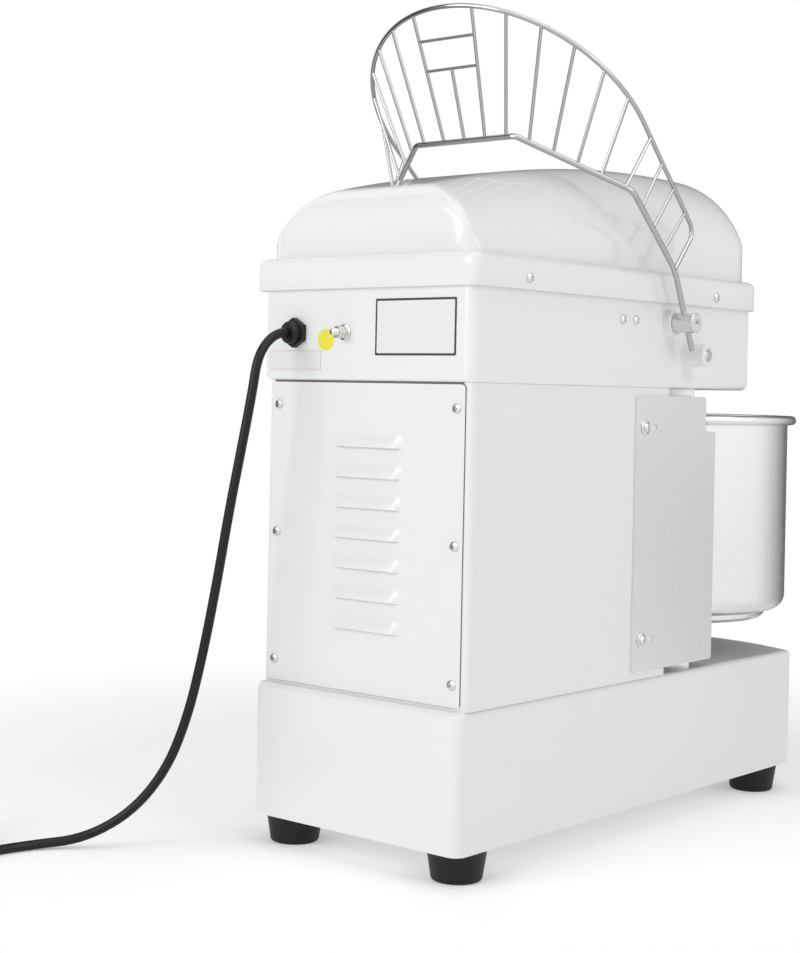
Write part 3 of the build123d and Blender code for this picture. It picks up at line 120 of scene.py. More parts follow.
sky_links.new(seen.outputs[0], light_or_seen.inputs[0])
sky_links.new(room_light.outputs[0], light_or_seen.inputs[1])
sky_links.new(room_seen.outputs[0], light_or_seen.inputs[2])
sky_links.new(light_or_seen.outputs[0], sky_out.inputs[0])
room_colour = sky.new("ShaderNodeMix")
room_colour.data_type = "RGBA"
room_colour.inputs["B"].default_value = (1.0, 1.0, 1.0, 1.0)
sky_links.new(
    walls_round(world.node_tree, sky_place.outputs["Generated"]), room_colour.inputs["A"]
)
sky_links.new(sky_ray.outputs["Is Camera Ray"], room_colour.inputs["Factor"])
sky_links.new(room_colour.outputs["Result"], room_seen.inputs["Color"])
room_strength = sky.new("ShaderNodeMath")
room_strength.operation = "MULTIPLY_ADD"
room_strength.inputs[1].default_value = mirror_gain
room_strength.inputs[2].default_value = 1.0
sky_links.new(sky_ray.outputs["Is Glossy Ray"], room_strength.inputs[0])
sky_links.new(room_strength.outputs[0], room_seen.inputs["Strength"])


def soft_box(name, place, towards, side, power):
    """A square lamp that faces a point."""
    lamp = bpy.data.objects.new(name, bpy.data.lights.new(name, "AREA"))
    bpy.context.scene.collection.objects.link(lamp)
    lamp.data.shape = "SQUARE"
    lamp.data.size = side
    lamp.data.energy = power
    lamp.location = place
    lamp.rotation_mode = "QUATERNION"
    lamp.rotation_quaternion = (Vector(towards) - Vector(place)).to_track_quat("-Z", "Y")


soft_box("back_lamp", (0.7, 2.5, 1.2), (0.0, 0.1, 0.35), 1.4, 22.5)
soft_box("top_lamp", (-0.4, 0.2, 2.4), (0.0, 0.0, 0.4), 1.8, 11.8)
soft_box("left_lamp", (-2.3, 0.1, 1.7), (0.0, 0.0, 0.5), 1.2, 10.0)

floor_half = 12.0
shape = bmesh.new()
bmesh.ops.create_grid(shape, x_segments=1, y_segments=1, size=floor_half)
floor_mesh = bpy.data.meshes.new("floor")
shape.to_mesh(floor_mesh)
shape.free()
floor = bpy.data.objects.new("floor", floor_mesh)
bpy.context.scene.collection.objects.link(floor)

# near the machine the paper takes its shadow, and further out it fades into the room
paper = bpy.data.materials.new("white_paper")
paper.use_nodes = True
nodes = paper.node_tree.nodes
links = paper.node_tree.links
nodes.clear()
paper_out = nodes.new("ShaderNodeOutputMaterial")
paper_ray = nodes.new("ShaderNodeLightPath")
paper_place = nodes.new("ShaderNodeTexCoord")
paper_lit = nodes.new("ShaderNodeBsdfDiffuse")
paper_lit.inputs["Color"].default_value = (0.9, 0.9, 0.9, 1.0)
paper_lift = nodes.new("ShaderNodeEmission")
paper_lift.inputs["Strength"].default_value = 0.24
paper_near = nodes.new("ShaderNodeAddShader")
paper_far = nodes.new("ShaderNodeEmission")
paper_colour = nodes.new("ShaderNodeMix")
paper_colour.data_type = "RGBA"
paper_colour.inputs["A"].default_value = (1.0, 1.0, 1.0, 1.0)
paper_away = nodes.new("ShaderNodeVectorMath")
paper_away.operation = "LENGTH"
paper_fade = nodes.new("ShaderNodeMapRange")
paper_fade.inputs["From Min"].default_value = 0.5
paper_fade.inputs["From Max"].default_value = 0.95
paper_mix = nodes.new("ShaderNodeMixShader")
links.new(paper_place.outputs["Object"], paper_away.inputs[0])
links.new(paper_away.outputs["Value"], paper_fade.inputs["Value"])
links.new(paper_fade.outputs["Result"], paper_mix.inputs[0])
links.new(paper_ray.outputs["Is Glossy Ray"], paper_colour.inputs["Factor"])
links.new(walls_round(paper.node_tree, paper_place.outputs["Object"]), paper_colour.inputs["B"])
links.new(paper_colour.outputs["Result"], paper_far.inputs["Color"])
links.new(paper_lit.outputs[0], paper_near.inputs[0])
links.new(paper_lift.outputs[0], paper_near.inputs[1])
links.new(paper_near.outputs[0], paper_mix.inputs[1])
links.new(paper_far.outputs[0], paper_mix.inputs[2])
links.new(paper_mix.outputs[0], paper_out.inputs[0])
floor_mesh.materials.append(paper)

# ---- mains lead
# A round black rubber lead, 8 mm thick. It hangs from its gland to the floor, runs out to the
# side and ends in five tied turns with the plug on top.
lead_radius = 0.004
lead_route = [
    (0.0752, 0.2969, 0.4349),
    (0.0752, 0.3039, 0.4349),
    (0.0754, 0.3166, 0.4295),
    (0.0759, 0.3262, 0.4196),
    (0.0768, 0.3314, 0.4066),
    (0.0782, 0.3335, 0.3870),
    (0.0806, 0.3371, 0.3610),
    (0.0852, 0.3411, 0.3260),
    (0.0920, 0.3446, 0.2840),
    (0.1010, 0.3479, 0.2260),
    (0.1120, 0.3519, 0.1650),
    (0.1240, 0.3564, 0.1120),
    (0.1400, 0.3649, 0.0660),
    (0.1630, 0.3829, 0.0300),
    (0.1930, 0.4079, 0.0080),
    (0.2190, 0.4379, 0.0040),
    (0.2270, 0.4789, 0.0040),
]
coil_x, coil_y = 0.275, 0.5169
coil_turns = [  # how far out and how high each turn lies
    (0.048, 0.004),
    (0.040, 0.004),
    (0.040, 0.012),
    (0.048, 0.012),
    (0.044, 0.020),
]
turn_steps = 16
crossing_steps = 4  # the steps over which a turn moves over to the next one's place
for turn, (reach, height) in enumerate(coil_turns):
    next_reach, next_height = coil_turns[min(turn + 1, len(coil_turns) - 1)]
    for step in range(turn_steps):
        over = max(0.0, (step - turn_steps + crossing_steps) / crossing_steps)
        # the curve passes inside its points, so they stand out a little
        out = (reach + (next_reach - reach) * over) / cos(pi / turn_steps)
        angle = pi - 2 * pi * step / turn_steps
        level = height + (next_height - height) * over
        lead_route.append((coil_x + out * cos(angle), coil_y + out * sin(angle), level))


def ease(share):
    """A smooth start and stop between 0 and 1."""
    share = max(0.0, min(1.0, share))
    return share * share * (3 - 2 * share)


# the last half turn rises off the pile and comes round into the plug
plug_low, plug_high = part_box("mains_plug")
plug_x = (plug_low[0] + plug_high[0]) / 2
plug_z = (plug_low[2] + plug_high[2]) / 2
plug_clearance = 0.012
lead_in_plug = 0.004
top_reach, top_height = coil_turns[-1]
rise_reach = (plug_x - coil_x + top_reach) / 2
rise_steps = 6
for step in range(rise_steps + 1):
    share = step / rise_steps
    angle = pi - pi * share
    lead_route.append(
        (
            plug_x - rise_reach + rise_reach * cos(angle),
            plug_high[1] + plug_clearance + rise_reach * sin(angle),
            top_height + (plug_z - top_height) * ease(share),
        )
    )
lead_route.append((plug_x, plug_high[1] - lead_in_plug, plug_z))

lead_curve = bpy.data.curves.new("mains_lead", "CURVE")
lead_curve.dimensions = "3D"
lead_line = lead_curve.splines.new("NURBS")
lead_line.points.add(len(lead_route) - 1)
for point, place in zip(lead_line.points, lead_route):
    point.co = (*place, 1.0)
    point.radius = lead_radius  # with a bevel of 1, so that the curve's box has the lead's size
lead_line.order_u = 3
lead_line.use_endpoint_u = True
lead_line.resolution_u = 6
lead_curve.bevel_depth = 1.0
lead_curve.bevel_resolution = 6
lead_curve.use_fill_caps = True
lead = bpy.data.objects.new("mains_lead", lead_curve)
bpy.context.scene.collection.objects.link(lead)
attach(lead, "machine")
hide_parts("power_cord", "cord_coil")


def plain_finish(name, colour, roughness, metallic=0.0, specular=0.5):
    """A new material with one colour and gloss, for the grain to be added to."""
    material = bpy.data.materials.new(name)
    material.use_nodes = True
    shader = material.node_tree.nodes["Principled BSDF"]
    shader.inputs["Base Color"].default_value = (*colour, 1.0)
    shader.inputs["Roughness"].default_value = roughness
    shader.inputs["Metallic"].default_value = metallic
    shader.inputs["Specular IOR Level"].default_value = specular
    return material


def noise(tree, size, detail, stretch):
    """Noise in an object's own coordinates, so many metres across."""
    place = tree.nodes.new("ShaderNodeTexCoord")
    pull = tree.nodes.new("ShaderNodeMapping")
    pull.inputs["Scale"].default_value = stretch
    cloud = tree.nodes.new("ShaderNodeTexNoise")
    cloud.inputs["Scale"].default_value = 1 / size
    cloud.inputs["Detail"].default_value = detail
    tree.links.new(place.outputs["Object"], pull.inputs["Vector"])
    tree.links.new(pull.outputs["Vector"], cloud.inputs["Vector"])
    return cloud.outputs["Fac"]


def grain(material, size, depth, stretch=(1.0, 1.0, 1.0)):
    """A fine relief on the surface, so many metres across and deep."""
    tree = material.node_tree
    relief = tree.nodes.new("ShaderNodeBump")
    relief.inputs["Distance"].default_value = depth
    relief.inputs["Strength"].default_value = 1.0
    tree.links.new(noise(tree, size, 3.0, stretch), relief.inputs["Height"])
    tree.links.new(relief.outputs["Normal"], tree.nodes["Principled BSDF"].inputs["Normal"])


def uneven_gloss(material, size, low, high, stretch=(1.0, 1.0, 1.0)):
    """Roughness that wanders slowly between two values."""
    tree = material.node_tree
    spread = tree.nodes.new("ShaderNodeMapRange")
    spread.inputs["From Min"].default_value = 0.3
    spread.inputs["From Max"].default_value = 0.7
    spread.inputs["To Min"].default_value = low
    spread.inputs["To Max"].default_value = high
    tree.links.new(noise(tree, size, 2.0, stretch), spread.inputs["Value"])
    tree.links.new(spread.outputs["Result"], tree.nodes["Principled BSDF"].inputs["Roughness"])


def dress(material, *names):
    """Gives parts of the frame a finish."""
    for name in names:
        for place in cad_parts[name].material_slots:
            place.material = material


lead_rubber = plain_finish("lead_rubber", (0.006, 0.006, 0.007), 0.4, specular=0.3)
grain(lead_rubber, 0.0012, 0.00003)
uneven_gloss(lead_rubber, 0.02, 0.34, 0.44)
lead_curve.materials.append(lead_rubber)

black_moulding = plain_finish("black_moulding", (0.01, 0.01, 0.011), 0.42, specular=0.35)
grain(black_moulding, 0.0006, 0.00004)
uneven_gloss(black_moulding, 0.01, 0.4, 0.55)
dress(black_moulding, "mains_plug", "cord_tie", "cable_gland")

# ---- base, column and head
# Sheet steel, folded and welded, and powder coated in a smooth gloss white. The back panel
# wears the same coat.
white_coat = plain_finish("white_coat", (0.87, 0.872, 0.878), 0.22)
grain(white_coat, 0.0016, 0.000004)
dress(white_coat, "base_housing", "base_plate", "column_housing", "head_housing")

# ---- cover
# A moulded lid in high gloss white: a skirt with a rounded shoulder, and over it a loaf-shaped
# crown whose sides and front roll over widely and whose back rolls over tightly.
lid_half = 0.121
lid_back = 0.290875
lid_front = -0.178125
lid_bow = 0.035  # how far the ends of the front lie behind its middle
lid_wall = 0.003
skirt_bottom = 0.471
skirt_top = 0.498
skirt_shoulder = 0.006
skirt_lip = 0.0006
crown_inset = 0.008
crown_rise = 0.097
crown_peak = -0.060
crown_arc = 1.37  # the radius of its bow from front to back
crown_blend = 2.5  # how sharply two rolls meet at the crown's corners
crown_foot = 0.001
crown_flare = 0.0008
ridge_front, ridge_back = -0.06, 0.24
side_roll = 0.068
front_roll = 0.076
back_roll = 0.022
# corners in plan, at the back and at the front
skirt_corners = (0.0105, 0.009)
inner_corners = (0.0075, 0.006)
crown_corners = (0.02, 0.02)
flat_corners = (0.006, 0.008)
# steps of the mesh
back_steps, side_steps, front_steps, corner_steps = 10, 24, 14, 8
flat_steps, roll_steps, shoulder_steps = 7, 20, 6


def between(start, end, share):
    """A point so far along from a start to an end."""
    return tuple(a + (b - a) * share for a, b in zip(start, end))


def rounded_corner(start, bend, end):
    """Points on a rounded corner between two points, drawn towards the bend between them."""
    for step in range(1, corner_steps):
        share = step / corner_steps
        yield tuple(
            a * (1 - share) ** 2 + 2 * b * share * (1 - share) + c * share**2
            for a, b, c in zip(start, bend, end)
        )


def lid_outline(side_in, back_in, front_in, back_round, front_round):
    """The lid's plan outline drawn in by so much, from the middle of its back round by +X."""
    half = lid_half - side_in
    back = lid_back - back_in

    def front_at(x):
        return lid_front + front_in + lid_bow * (x / lid_half) ** 2

    back_end, front_end = half - back_round, half - front_round
    side_back, side_front = back - back_round, front_at(half) + front_round
    points = [(back_end * step / back_steps, back) for step in range(back_steps + 1)]
    points += rounded_corner((back_end, back), (half, back), (half, side_back))
    for step in range(side_steps + 1):
        points.append((half, side_back + (side_front - side_back) * step / side_steps))
    points += rounded_corner(
        (half, side_front), (half, front_at(half)), (front_end, front_at(front_end))
    )
    for step in range(front_steps + 1):
        x = front_end * (1 - step / front_steps)
        points.append((x, front_at(x)))
    return points + [(-x, y) for x, y in points[-2:0:-1]]


def roll(reach, distance):
    """How far a rounded edge lies below the crown, at a distance in from its wall."""
    return reach - (reach**2 - max(0.0, reach - max(0.0, distance)) ** 2) ** 0.5


def crown_level(x, y, inset):
    """The crown's height, with every side drawn in by the inset."""
    wall = crown_inset + inset
    side = lid_half - wall - abs(x)
    back = lid_back - wall - y
    front = y - lid_front - wall - lid_bow * (x / lid_half) ** 2
    arc = crown_arc - inset
    top = skirt_top + crown_rise - inset - arc + (arc**2 - (y - crown_peak) ** 2) ** 0.5
    drops = (roll(side_roll, side), roll(front_roll, front), roll(back_roll, back))
    return top - sum(drop**crown_blend for drop in drops) ** (1 / crown_blend)


def crown_rings(inset):
    """Rings of points from the crown's ridge out and down to its wall."""
    wall = crown_inset + inset
    flat = lid_outline(wall + side_roll, wall + back_roll, wall + front_roll, *flat_corners)
    ridge = [(0.0, min(max(y, ridge_front), ridge_back)) for x, y in flat]
    lowest = skirt_top + 2 * crown_foot
    rings = []
    for step in range(flat_steps):
        outline = [between(*ends, step / flat_steps) for ends in zip(ridge, flat)]
        rings.append([(x, y, crown_level(x, y, inset)) for x, y in outline])
    for step in range(roll_steps + 1):
        share = 1 - cos(pi / 2 * (1 - step / roll_steps))
        drawn_in = (wall + reach * share for reach in (side_roll, back_roll, front_roll))
        outline = lid_outline(*drawn_in, *between(crown_corners, flat_corners, share))
        rings.append([(x, y, max(crown_level(x, y, inset), lowest)) for x, y in outline])
    return rings


def level_ring(inset, corners, z):
    """A level ring of points on the lid's outline, drawn in alike all round."""
    return [(x, y, z) for x, y in lid_outline(inset, inset, inset, *corners)]


def weld(shape):
    """Joins points that lie in one place, and drops what has no size left."""
    bmesh.ops.remove_doubles(shape, verts=shape.verts, dist=1e-6)
    bmesh.ops.dissolve_degenerate(shape, dist=1e-7, edges=shape.edges)


def new_piece(name, shape, material, *replaced, crease=radians(35)):
    """An object made of a shape, smooth except where its faces meet at more than the crease."""
    bmesh.ops.recalc_face_normals(shape, faces=shape.faces)
    for face in shape.faces:
        face.smooth = True
    mesh = bpy.data.meshes.new(name)
    shape.to_mesh(mesh)
    shape.free()
    if crease:
        mesh.set_sharp_from_angle(angle=crease)
    mesh.materials.append(material)
    piece = bpy.data.objects.new(name, mesh)
    bpy.context.scene.collection.objects.link(piece)
    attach(piece, "machine")
    if replaced:
        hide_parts(*replaced)


rings = crown_rings(0.0)
rings.append([(x, y, skirt_top + crown_foot) for x, y, z in rings[-1]])
rings.append(level_ring(crown_inset - crown_flare, crown_corners, skirt_top))
for step in range(shoulder_steps + 1):
    angle = pi / 2 * step / shoulder_steps
    drawn_in = skirt_shoulder * (1 - sin(angle))
    drop = skirt_shoulder * (1 - cos(angle))
    rings.append(level_ring(drawn_in, skirt_corners, skirt_top - drop))
rings.append(level_ring(0.0, skirt_corners, skirt_bottom + skirt_lip))
rings.append(level_ring(skirt_lip, skirt_corners, skirt_bottom))
rings.append(level_ring(lid_wall, inner_corners, skirt_bottom))
rings.append(level_ring(lid_wall, inner_corners, skirt_top - lid_wall))
inner_rings = crown_rings(lid_wall)
rings.append([(x, y, skirt_top - lid_wall) for x, y, z in inner_rings[-1]])
rings.extend(reversed(inner_rings))

shape = bmesh.new()
loops = [[shape.verts.new(point) for point in ring] for ring in rings]
for upper, lower in zip(loops, loops[1:]):
    for place, vert in enumerate(upper):
        shape.faces.new((vert, upper[place - 1], lower[place - 1], lower[place]))
weld(shape)
white_lid = plain_finish("white_lid", (0.87, 0.875, 0.88), 0.08)
grain(white_lid, 0.03, 0.000003)
new_piece("moulded_lid", shape, white_lid, "head_cover", crease=None)

# ---- stainless parts
# The bowl, its carrier and shield and the side plates are satin, with a faint drawn grain that
# runs round them. The guard's wire is polished, its colour darkened below the other polished
# steel as painted shade for the darker room it mirrors; the hook and fittings are polished.
satin_steel = plain_finish("satin_steel", (0.76, 0.76, 0.755), 0.27, metallic=1.0)
grain(satin_steel, 0.02, 0.0000001, stretch=(1.0, 1.0, 20.0))
uneven_gloss(satin_steel, 0.03, 0.255, 0.285, stretch=(1.0, 1.0, 4.0))
dress(satin_steel, "bowl", "bowl_carrier", "bowl_bearing_housing", "bowl_shield", "side_plates")

# painted shade: a darker colour than the other polished steel, standing in for the dark
# surroundings the thin wires mirror
wire_steel_painted_shade = plain_finish("wire_steel_painted_shade", (0.44, 0.435, 0.425), 0.1, metallic=1.0)
uneven_gloss(wire_steel_painted_shade, 0.01, 0.08, 0.14)
dress(wire_steel_painted_shade, "guard_rail", "guard_ring", "guard_bars")

polished_steel = plain_finish("polished_steel", (0.7, 0.695, 0.68), 0.14, metallic=1.0)
uneven_gloss(polished_steel, 0.01, 0.12, 0.22)
dress(polished_steel, "guard_sleeves", "guard_pivot_shafts", "guard_set_screws")
dress(polished_steel, "spiral_hook", "breaker_bar", "hook_pin", "foot_bolts", "stop_roller_screws")

# ---- feet and belt
# Black rubber with a dull, slightly pitted skin. The feet show at the base, and the belt is
# inside.
foot_rubber = plain_finish("foot_rubber", (0.008, 0.008, 0.009), 0.5, specular=0.3)
grain(foot_rubber, 0.0008, 0.00005)
dress(foot_rubber, "rubber_feet", "drive_belt")

# ---- nylon spacers and rollers
# Turned from white nylon, a little yellower and duller than the coat beside them, with fine
# marks of the tool.
white_nylon = plain_finish("white_nylon", (0.84, 0.84, 0.82), 0.4)
grain(white_nylon, 0.001, 0.00002)
dress(white_nylon, "guard_spacers", "stop_rollers")

# ---- controls
# A green start button, a red stop button and emergency stop, and black bezels and timer knob.
# The safety switch and the contactor inside are black too.
green_moulding = plain_finish("green_moulding", (0.02, 0.33, 0.08), 0.3)
grain(green_moulding, 0.002, 0.00001)
dress(green_moulding, "start_button")
red_moulding = plain_finish("red_moulding", (0.6, 0.02, 0.02), 0.3)
grain(red_moulding, 0.002, 0.00001)
dress(red_moulding, "stop_button", "emergency_stop")
dress(black_moulding, "control_bezels", "timer_knob", "safety_switch", "contactor")

# ---- drive
# Machined steel for the shafts, wheels, pulleys, chains and the rest inside, and a grey casting
# for the hook's bearing housing under the head.
machined_steel = plain_finish("machined_steel", (0.42, 0.42, 0.42), 0.35, metallic=1.0)
grain(machined_steel, 0.002, 0.00002)
dress(machined_steel, "bowl_shaft", "countershaft", "main_shaft", "hook_shaft", "motor_shaft")
dress(machined_steel, "bowl_wheel", "hook_wheel", "bowl_chains", "hook_chain", "shaft_bearings")
dress(machined_steel, "main_pulley", "motor_pulley", "motor_body", "motor_shelf")
dress(machined_steel, "switch_bracket", "switch_cam")
cast_grey = plain_finish("cast_grey", (0.16, 0.16, 0.165), 0.4, metallic=1.0)
grain(cast_grey, 0.0015, 0.00004)
dress(cast_grey, "hook_bearing_housing")

# ---- screws
# Zinc-plated pan head screws with a cross recess: six in the back panel, four in the cover's
# skirt and two at the switch bracket. The side plates' four sit on plain washers.
cross_half = 0.0005
cross_reach = 0.0018
cross_depth = 0.0013
cross_taper = 0.7
cross_quarter = [(cross_reach, cross_half), (cross_half, cross_half), (cross_half, cross_reach)]
head_height = 0.0026
head_profile = [
    (0.0042, -0.0002),
    (0.0042, 0.0005),
    (0.0040, 0.0013),
    (0.0035, 0.0020),
    (0.0026, head_height),
]
head_steps = 24
washer_height = 0.001
washer_profile = [
    (0.0064, 0.0),
    (0.00672, 0.0002),
    (0.00672, 0.0008),
    (0.0064, washer_height),
    (0.002, washer_height),
]
round_steps = 32
panel_face = 0.282075
panel_screw_x = 0.097
panel_screw_levels = (0.1575, 0.266, 0.3745)
cover_screw_rows = (0.222675, -0.068325)
cover_screw_level = 0.48
head_side = 0.116
bracket_screw_rows = (0.058875, 0.079275)
bracket_screw_level = 0.4534
plate_side = 0.113
plate_screw_row = 0.035075
plate_screw_levels = (0.172, 0.36)


def facing(place, outward):
    """Takes what stands on the floor to a place where it faces outward."""
    turn = Vector(outward).to_track_quat("Z", "Y").to_matrix().to_4x4()
    return Matrix.Translation(place) @ turn


def turned(shape, profile, steps, seat):
    """A turned part from (radius, height) pairs, closed at its foot. Gives back its last ring."""
    angles = [2 * pi * step / steps for step in range(steps)]
    rings = []
    for radius, height in profile:
        around = [Vector((radius * cos(angle), radius * sin(angle), height)) for angle in angles]
        rings.append([shape.verts.new(seat @ point) for point in around])
    for low, high in zip(rings, rings[1:]):
        for step in range(steps):
            shape.faces.new((low[step - 1], low[step], high[step], high[step - 1]))
    shape.faces.new(rings[0][::-1])
    return rings[-1]


def edges_round(shape, ring):
    """The edges that join a ring of points."""
    return [shape.edges.get((ring[step - 1], ring[step])) for step in range(len(ring))]


def pan_head(shape, place, outward):
    """A screw's head, with a cross that narrows towards its floor."""
    seat = facing(place, outward)
    rim = turned(shape, head_profile, head_steps, seat)
    cross = []
    for quarter in range(4):
        along, across = cos(pi / 2 * quarter), sin(pi / 2 * quarter)
        cross += [(x * along - y * across, x * across + y * along) for x, y in cross_quarter]
    mouth = [shape.verts.new(seat @ Vector((x, y, head_height))) for x, y in cross]
    floor_height = head_height - cross_depth
    cross_floor = [(cross_taper * x, cross_taper * y, floor_height) for x, y in cross]
    low = [shape.verts.new(seat @ Vector(point)) for point in cross_floor]
    for step in range(len(cross)):
        shape.faces.new((mouth[step], mouth[step - 1], low[step - 1], low[step]))
    shape.faces.new(low)
    top_edges = edges_round(shape, rim) + edges_round(shape, mouth)
    bmesh.ops.triangle_fill(shape, use_beauty=True, edges=top_edges)


shape = bmesh.new()
for x in (-panel_screw_x, panel_screw_x):
    for z in panel_screw_levels:
        pan_head(shape, (x, panel_face, z), (0, 1, 0))
new_piece("panel_screw_heads", shape, polished_steel, "rear_panel_screws")

shape = bmesh.new()
for side in (-1, 1):
    for y in cover_screw_rows:
        pan_head(shape, (side * lid_half, y, cover_screw_level), (side, 0, 0))
new_piece("cover_screw_heads", shape, polished_steel, "cover_screws")

shape = bmesh.new()
for y in bracket_screw_rows:
    pan_head(shape, (-head_side, y, bracket_screw_level), (-1, 0, 0))
new_piece("bracket_screw_heads", shape, polished_steel, "switch_bracket_screws")

shape = bmesh.new()
for side in (-1, 1):
    for z in plate_screw_levels:
        seat = facing((side * plate_side, plate_screw_row, z), (side, 0, 0))
        shape.faces.new(turned(shape, washer_profile, round_steps, seat))
        washer_face = side * (plate_side + washer_height)
        pan_head(shape, (washer_face, plate_screw_row, z), (side, 0, 0))
new_piece("plate_screw_heads", shape, polished_steel, "side_plate_screws")

# ---- earth stud
# A threaded stud on the head's back with a wide washer, a nut, a second washer and a thin nut.
# Its thread is a row of rings.
head_back = 0.285875
head_screw_level = 0.4349
hexagon = 6
thread_steps = 24
thread_crest, thread_root, thread_pitch, thread_start = 0.0029, 0.0025, 0.001, 0.0103
thread_turns = 5
wide_washer = [(0.0062, 0.0), (0.0065, 0.0002), (0.0065, 0.0011), (0.0062, 0.0013), (0.002, 0.0013)]
nut = [(0.0055, 0.0013), (0.0057, 0.0017), (0.0057, 0.0056), (0.0048, 0.0062), (0.002, 0.0062)]
washer = [(0.0050, 0.0062), (0.0052, 0.0064), (0.0052, 0.0072), (0.0050, 0.0074), (0.002, 0.0074)]
thin_nut = [(0.0052, 0.0074), (0.0054, 0.0078), (0.0054, 0.0098), (0.0046, 0.0103), (0.002, 0.0103)]
thread = [(0.0024, 0.0098)]
for turn in range(thread_turns):
    foot = thread_start + thread_pitch * turn
    thread += [(thread_crest, foot), (thread_root, foot + thread_pitch / 2)]
thread += [(thread_crest, 0.0154), (0.0022, 0.0163), (0.0016, 0.0165)]

stud_seat = facing((0.02, head_back, head_screw_level), (0, 1, 0))
shape = bmesh.new()
for profile, steps in (
    (wide_washer, round_steps),
    (nut, hexagon),
    (washer, round_steps),
    (thin_nut, hexagon),
    (thread, thread_steps),
):
    shape.faces.new(turned(shape, profile, steps, stud_seat))
new_piece("earth_stud_stack", shape, polished_steel, "earth_stud")

# ---- blank stickers
# Three plain stickers on the head's back: a large bordered one, a narrow bordered one under the
# gland and a yellow dot beside the earth stud.
vinyl_sheet = 0.0002
vinyl_corner = 0.0008
dot_radius = 0.009
dot_steps = 48


def vinyl(name, colour):
    """A half-matt film."""
    material = plain_finish(name, colour, 0.35)
    grain(material, 0.004, 0.000005)
    return material


vinyl_white = vinyl("vinyl_white", (0.82, 0.82, 0.82))
vinyl_dark = vinyl("vinyl_dark", (0.03, 0.03, 0.032))
vinyl_pink = vinyl("vinyl_pink", (0.78, 0.5, 0.5))
vinyl_yellow = vinyl("vinyl_yellow", (0.85, 0.78, 0.06))


def block(size, middle):
    """A box of a size about a middle."""
    shape = bmesh.new()
    bmesh.ops.create_cube(shape, size=1.0)
    bmesh.ops.scale(shape, verts=shape.verts, vec=size)
    bmesh.ops.translate(shape, verts=shape.verts, vec=middle)
    return shape


def sticker(name, x, z, width, height, lift, material):
    """A flat sheet on the head's back with rounded corners, its middle lifted by so much."""
    shape = block((width, vinyl_sheet, height), (x, head_back + lift, z))
    short_edges = [edge for edge in shape.edges if edge.calc_length() < 2 * vinyl_sheet]
    bmesh.ops.bevel(
        shape, geom=short_edges, offset=vinyl_corner, segments=4, affect="EDGES", profile=0.5
    )
    new_piece(name, shape, material)


def bordered_sticker(name, x, z, width, height, border, border_material):
    """A white sticker that shows a border round its edge."""
    lift = vinyl_sheet / 2
    sticker(name + "_border", x, z, width, height, lift, border_material)
    sticker(name, x, z, width - 2 * border, height - 2 * border, 2 * lift, vinyl_white)


bordered_sticker("large_sticker", -0.0556, 0.439, 0.0842, 0.046, 0.0018, vinyl_dark)
bordered_sticker("narrow_sticker", 0.0758, 0.412, 0.059, 0.016, 0.0004, vinyl_pink)
shape = bmesh.new()
dot_profile = [(dot_radius, 0.0), (dot_radius, vinyl_sheet)]
dot_seat = facing((0.041, head_back, 0.429), (0, 1, 0))
shape.faces.new(turned(shape, dot_profile, dot_steps, dot_seat))
new_piece("yellow_dot", shape, vinyl_yellow)

# ---- back panel
# Pressed sheet with seven louvres: each hood swells smoothly out of the sheet from above and
# from both ends, and is open along its lower lip.
panel_half, panel_low, panel_high = 0.10475, 0.1395, 0.3935
panel_sheet = 0.0012
panel_corner = 0.0035
panel_margin = 0.006
hood_left, hood_right = -0.043, 0.035
hood_rise, hood_reach, hood_end = 0.013, 0.0036, 0.009
hood_rows, hood_pitch, lowest_lip = 7, 0.025, 0.191
plain_left, plain_right = -0.07, 0.065
plain_in_hood = [-0.02, -0.004, 0.012]
rise_steps, end_steps = 10, 8

# each lip has two rows of points at its height, one in the sheet and one out on the hood, and
# the slot opens between them
ends = [hood_end * step / end_steps for step in range(end_steps + 1)]
columns = [-panel_half, -panel_half + panel_margin, plain_left]
columns += [hood_left + end for end in ends]
columns += plain_in_hood
columns += [hood_right - end for end in reversed(ends)]
columns += [plain_right, panel_half - panel_margin, panel_half]
rows = [(panel_low, None), (panel_low + panel_margin, None)]
lip_rows = []
for hood in range(hood_rows):
    lip = lowest_lip + hood_pitch * hood
    lip_rows.append(len(rows))
    rows.append((lip, None))
    rows += [(lip + hood_rise * step / rise_steps, lip) for step in range(rise_steps + 1)]
rows += [(panel_high - panel_margin, None), (panel_high, None)]


def stand_out(x, z, lip):
    """How far the sheet stands out at a place, in a row that belongs to a lip or to none."""
    if lip is None:
        return 0.0
    end = ease((x - hood_left) / hood_end) * ease((hood_right - x) / hood_end)
    return hood_reach * end * (1 - ease((z - lip) / hood_rise))


def strip(shape, first, second, places):
    """Faces between two lines of points, one from each of these places to the next."""
    for place in places:
        shape.faces.new((first[place], first[place + 1], second[place + 1], second[place]))


def at_corner(point):
    """Whether a point lies on one of the panel's four corners."""
    beside = abs(abs(point.x) - panel_half)
    above = min(abs(point.z - panel_low), abs(point.z - panel_high))
    return max(beside, above) < 1e-5


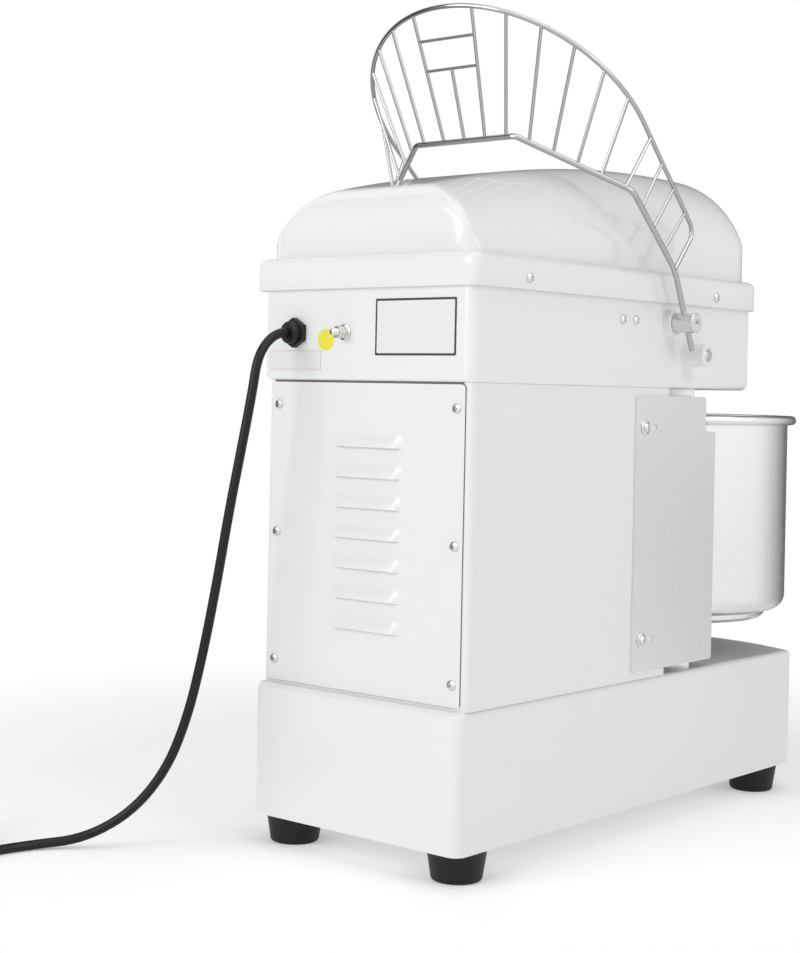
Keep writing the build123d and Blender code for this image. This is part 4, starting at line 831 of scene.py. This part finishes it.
shape = bmesh.new()
outside, inside = [], []
for z, lip in rows:
    line = [panel_face + stand_out(x, z, lip) for x in columns]
    outside.append([shape.verts.new((x, y, z)) for x, y in zip(columns, line)])
    inside.append([shape.verts.new((x, y - panel_sheet, z)) for x, y in zip(columns, line)])
all_places = range(len(columns) - 1)
hood_places = range(columns.index(hood_left), columns.index(hood_right))
whole_rows = [row for row in range(len(rows) - 1) if row not in lip_rows]
for row in whole_rows:
    strip(shape, outside[row], outside[row + 1], all_places)
    strip(shape, inside[row + 1], inside[row], all_places)
for row in lip_rows:
    strip(shape, outside[row], inside[row], hood_places)
    strip(shape, inside[row + 1], outside[row + 1], hood_places)
for row in (0, -1):
    strip(shape, outside[row], inside[row], all_places)
for place in (0, -1):
    strip(shape, [line[place] for line in outside], [line[place] for line in inside], whole_rows)
weld(shape)
corner_edges = [edge for edge in shape.edges if all(at_corner(vert.co) for vert in edge.verts)]
bmesh.ops.bevel(
    shape, geom=corner_edges, offset=panel_corner, segments=5, affect="EDGES", profile=0.5
)
new_piece("louvred_panel", shape, white_coat, "rear_panel")

# ---- painted gap shade
# Dark grey strips stand in for shadow: a thin line of painted shade round the back panel, and
# another in the gap between its top edge and the head.
column_back = 0.280875
edge_shade_corner = 0.003
edge_shade_steps = 6
edge_shade_section = ((-0.001, 0.0001), (0.0003, 0.0001), (0.0003, 0.0008), (-0.001, 0.0008))
head_gap_shade_size = (0.205, 0.0014, 0.0011)
head_gap_shade_middle = (0.0, column_back + 0.0006, 0.3944)
head_gap_shade_edge = 0.0002
# painted shade: a dark grey that stands in for the shadow in these gaps, not a part of its own
painted_gap_shade = plain_finish("painted_gap_shade", (0.14, 0.14, 0.14), 0.6)
grain(painted_gap_shade, 0.001, 0.00002)

bend_x = panel_half - edge_shade_corner
bend_low, bend_high = panel_low + edge_shade_corner, panel_high - edge_shade_corner
bends = ((bend_x, bend_high), (-bend_x, bend_high), (-bend_x, bend_low), (bend_x, bend_low))
# a ring of painted shade just outside the panel's edge
shape = bmesh.new()
rings = []
for reach, lift in edge_shade_section:
    out = edge_shade_corner + reach
    ring = []
    for quarter, (x, z) in enumerate(bends):
        for step in range(edge_shade_steps + 1):
            angle = pi / 2 * (quarter + step / edge_shade_steps)
            point = (x + out * cos(angle), column_back + lift, z + out * sin(angle))
            ring.append(shape.verts.new(point))
    rings.append(ring)
for ring, following in zip(rings, rings[1:] + rings[:1]):
    for place in range(len(ring)):
        shape.faces.new((ring[place - 1], ring[place], following[place], following[place - 1]))
new_piece("panel_edge_shade", shape, painted_gap_shade)

# a strip of painted shade in the gap under the head
shape = block(head_gap_shade_size, head_gap_shade_middle)
bmesh.ops.bevel(shape, geom=shape.edges[:], offset=head_gap_shade_edge, segments=1, affect="EDGES")
new_piece("head_gap_shade", shape, painted_gap_shade)

bpy.context.view_layer.update()
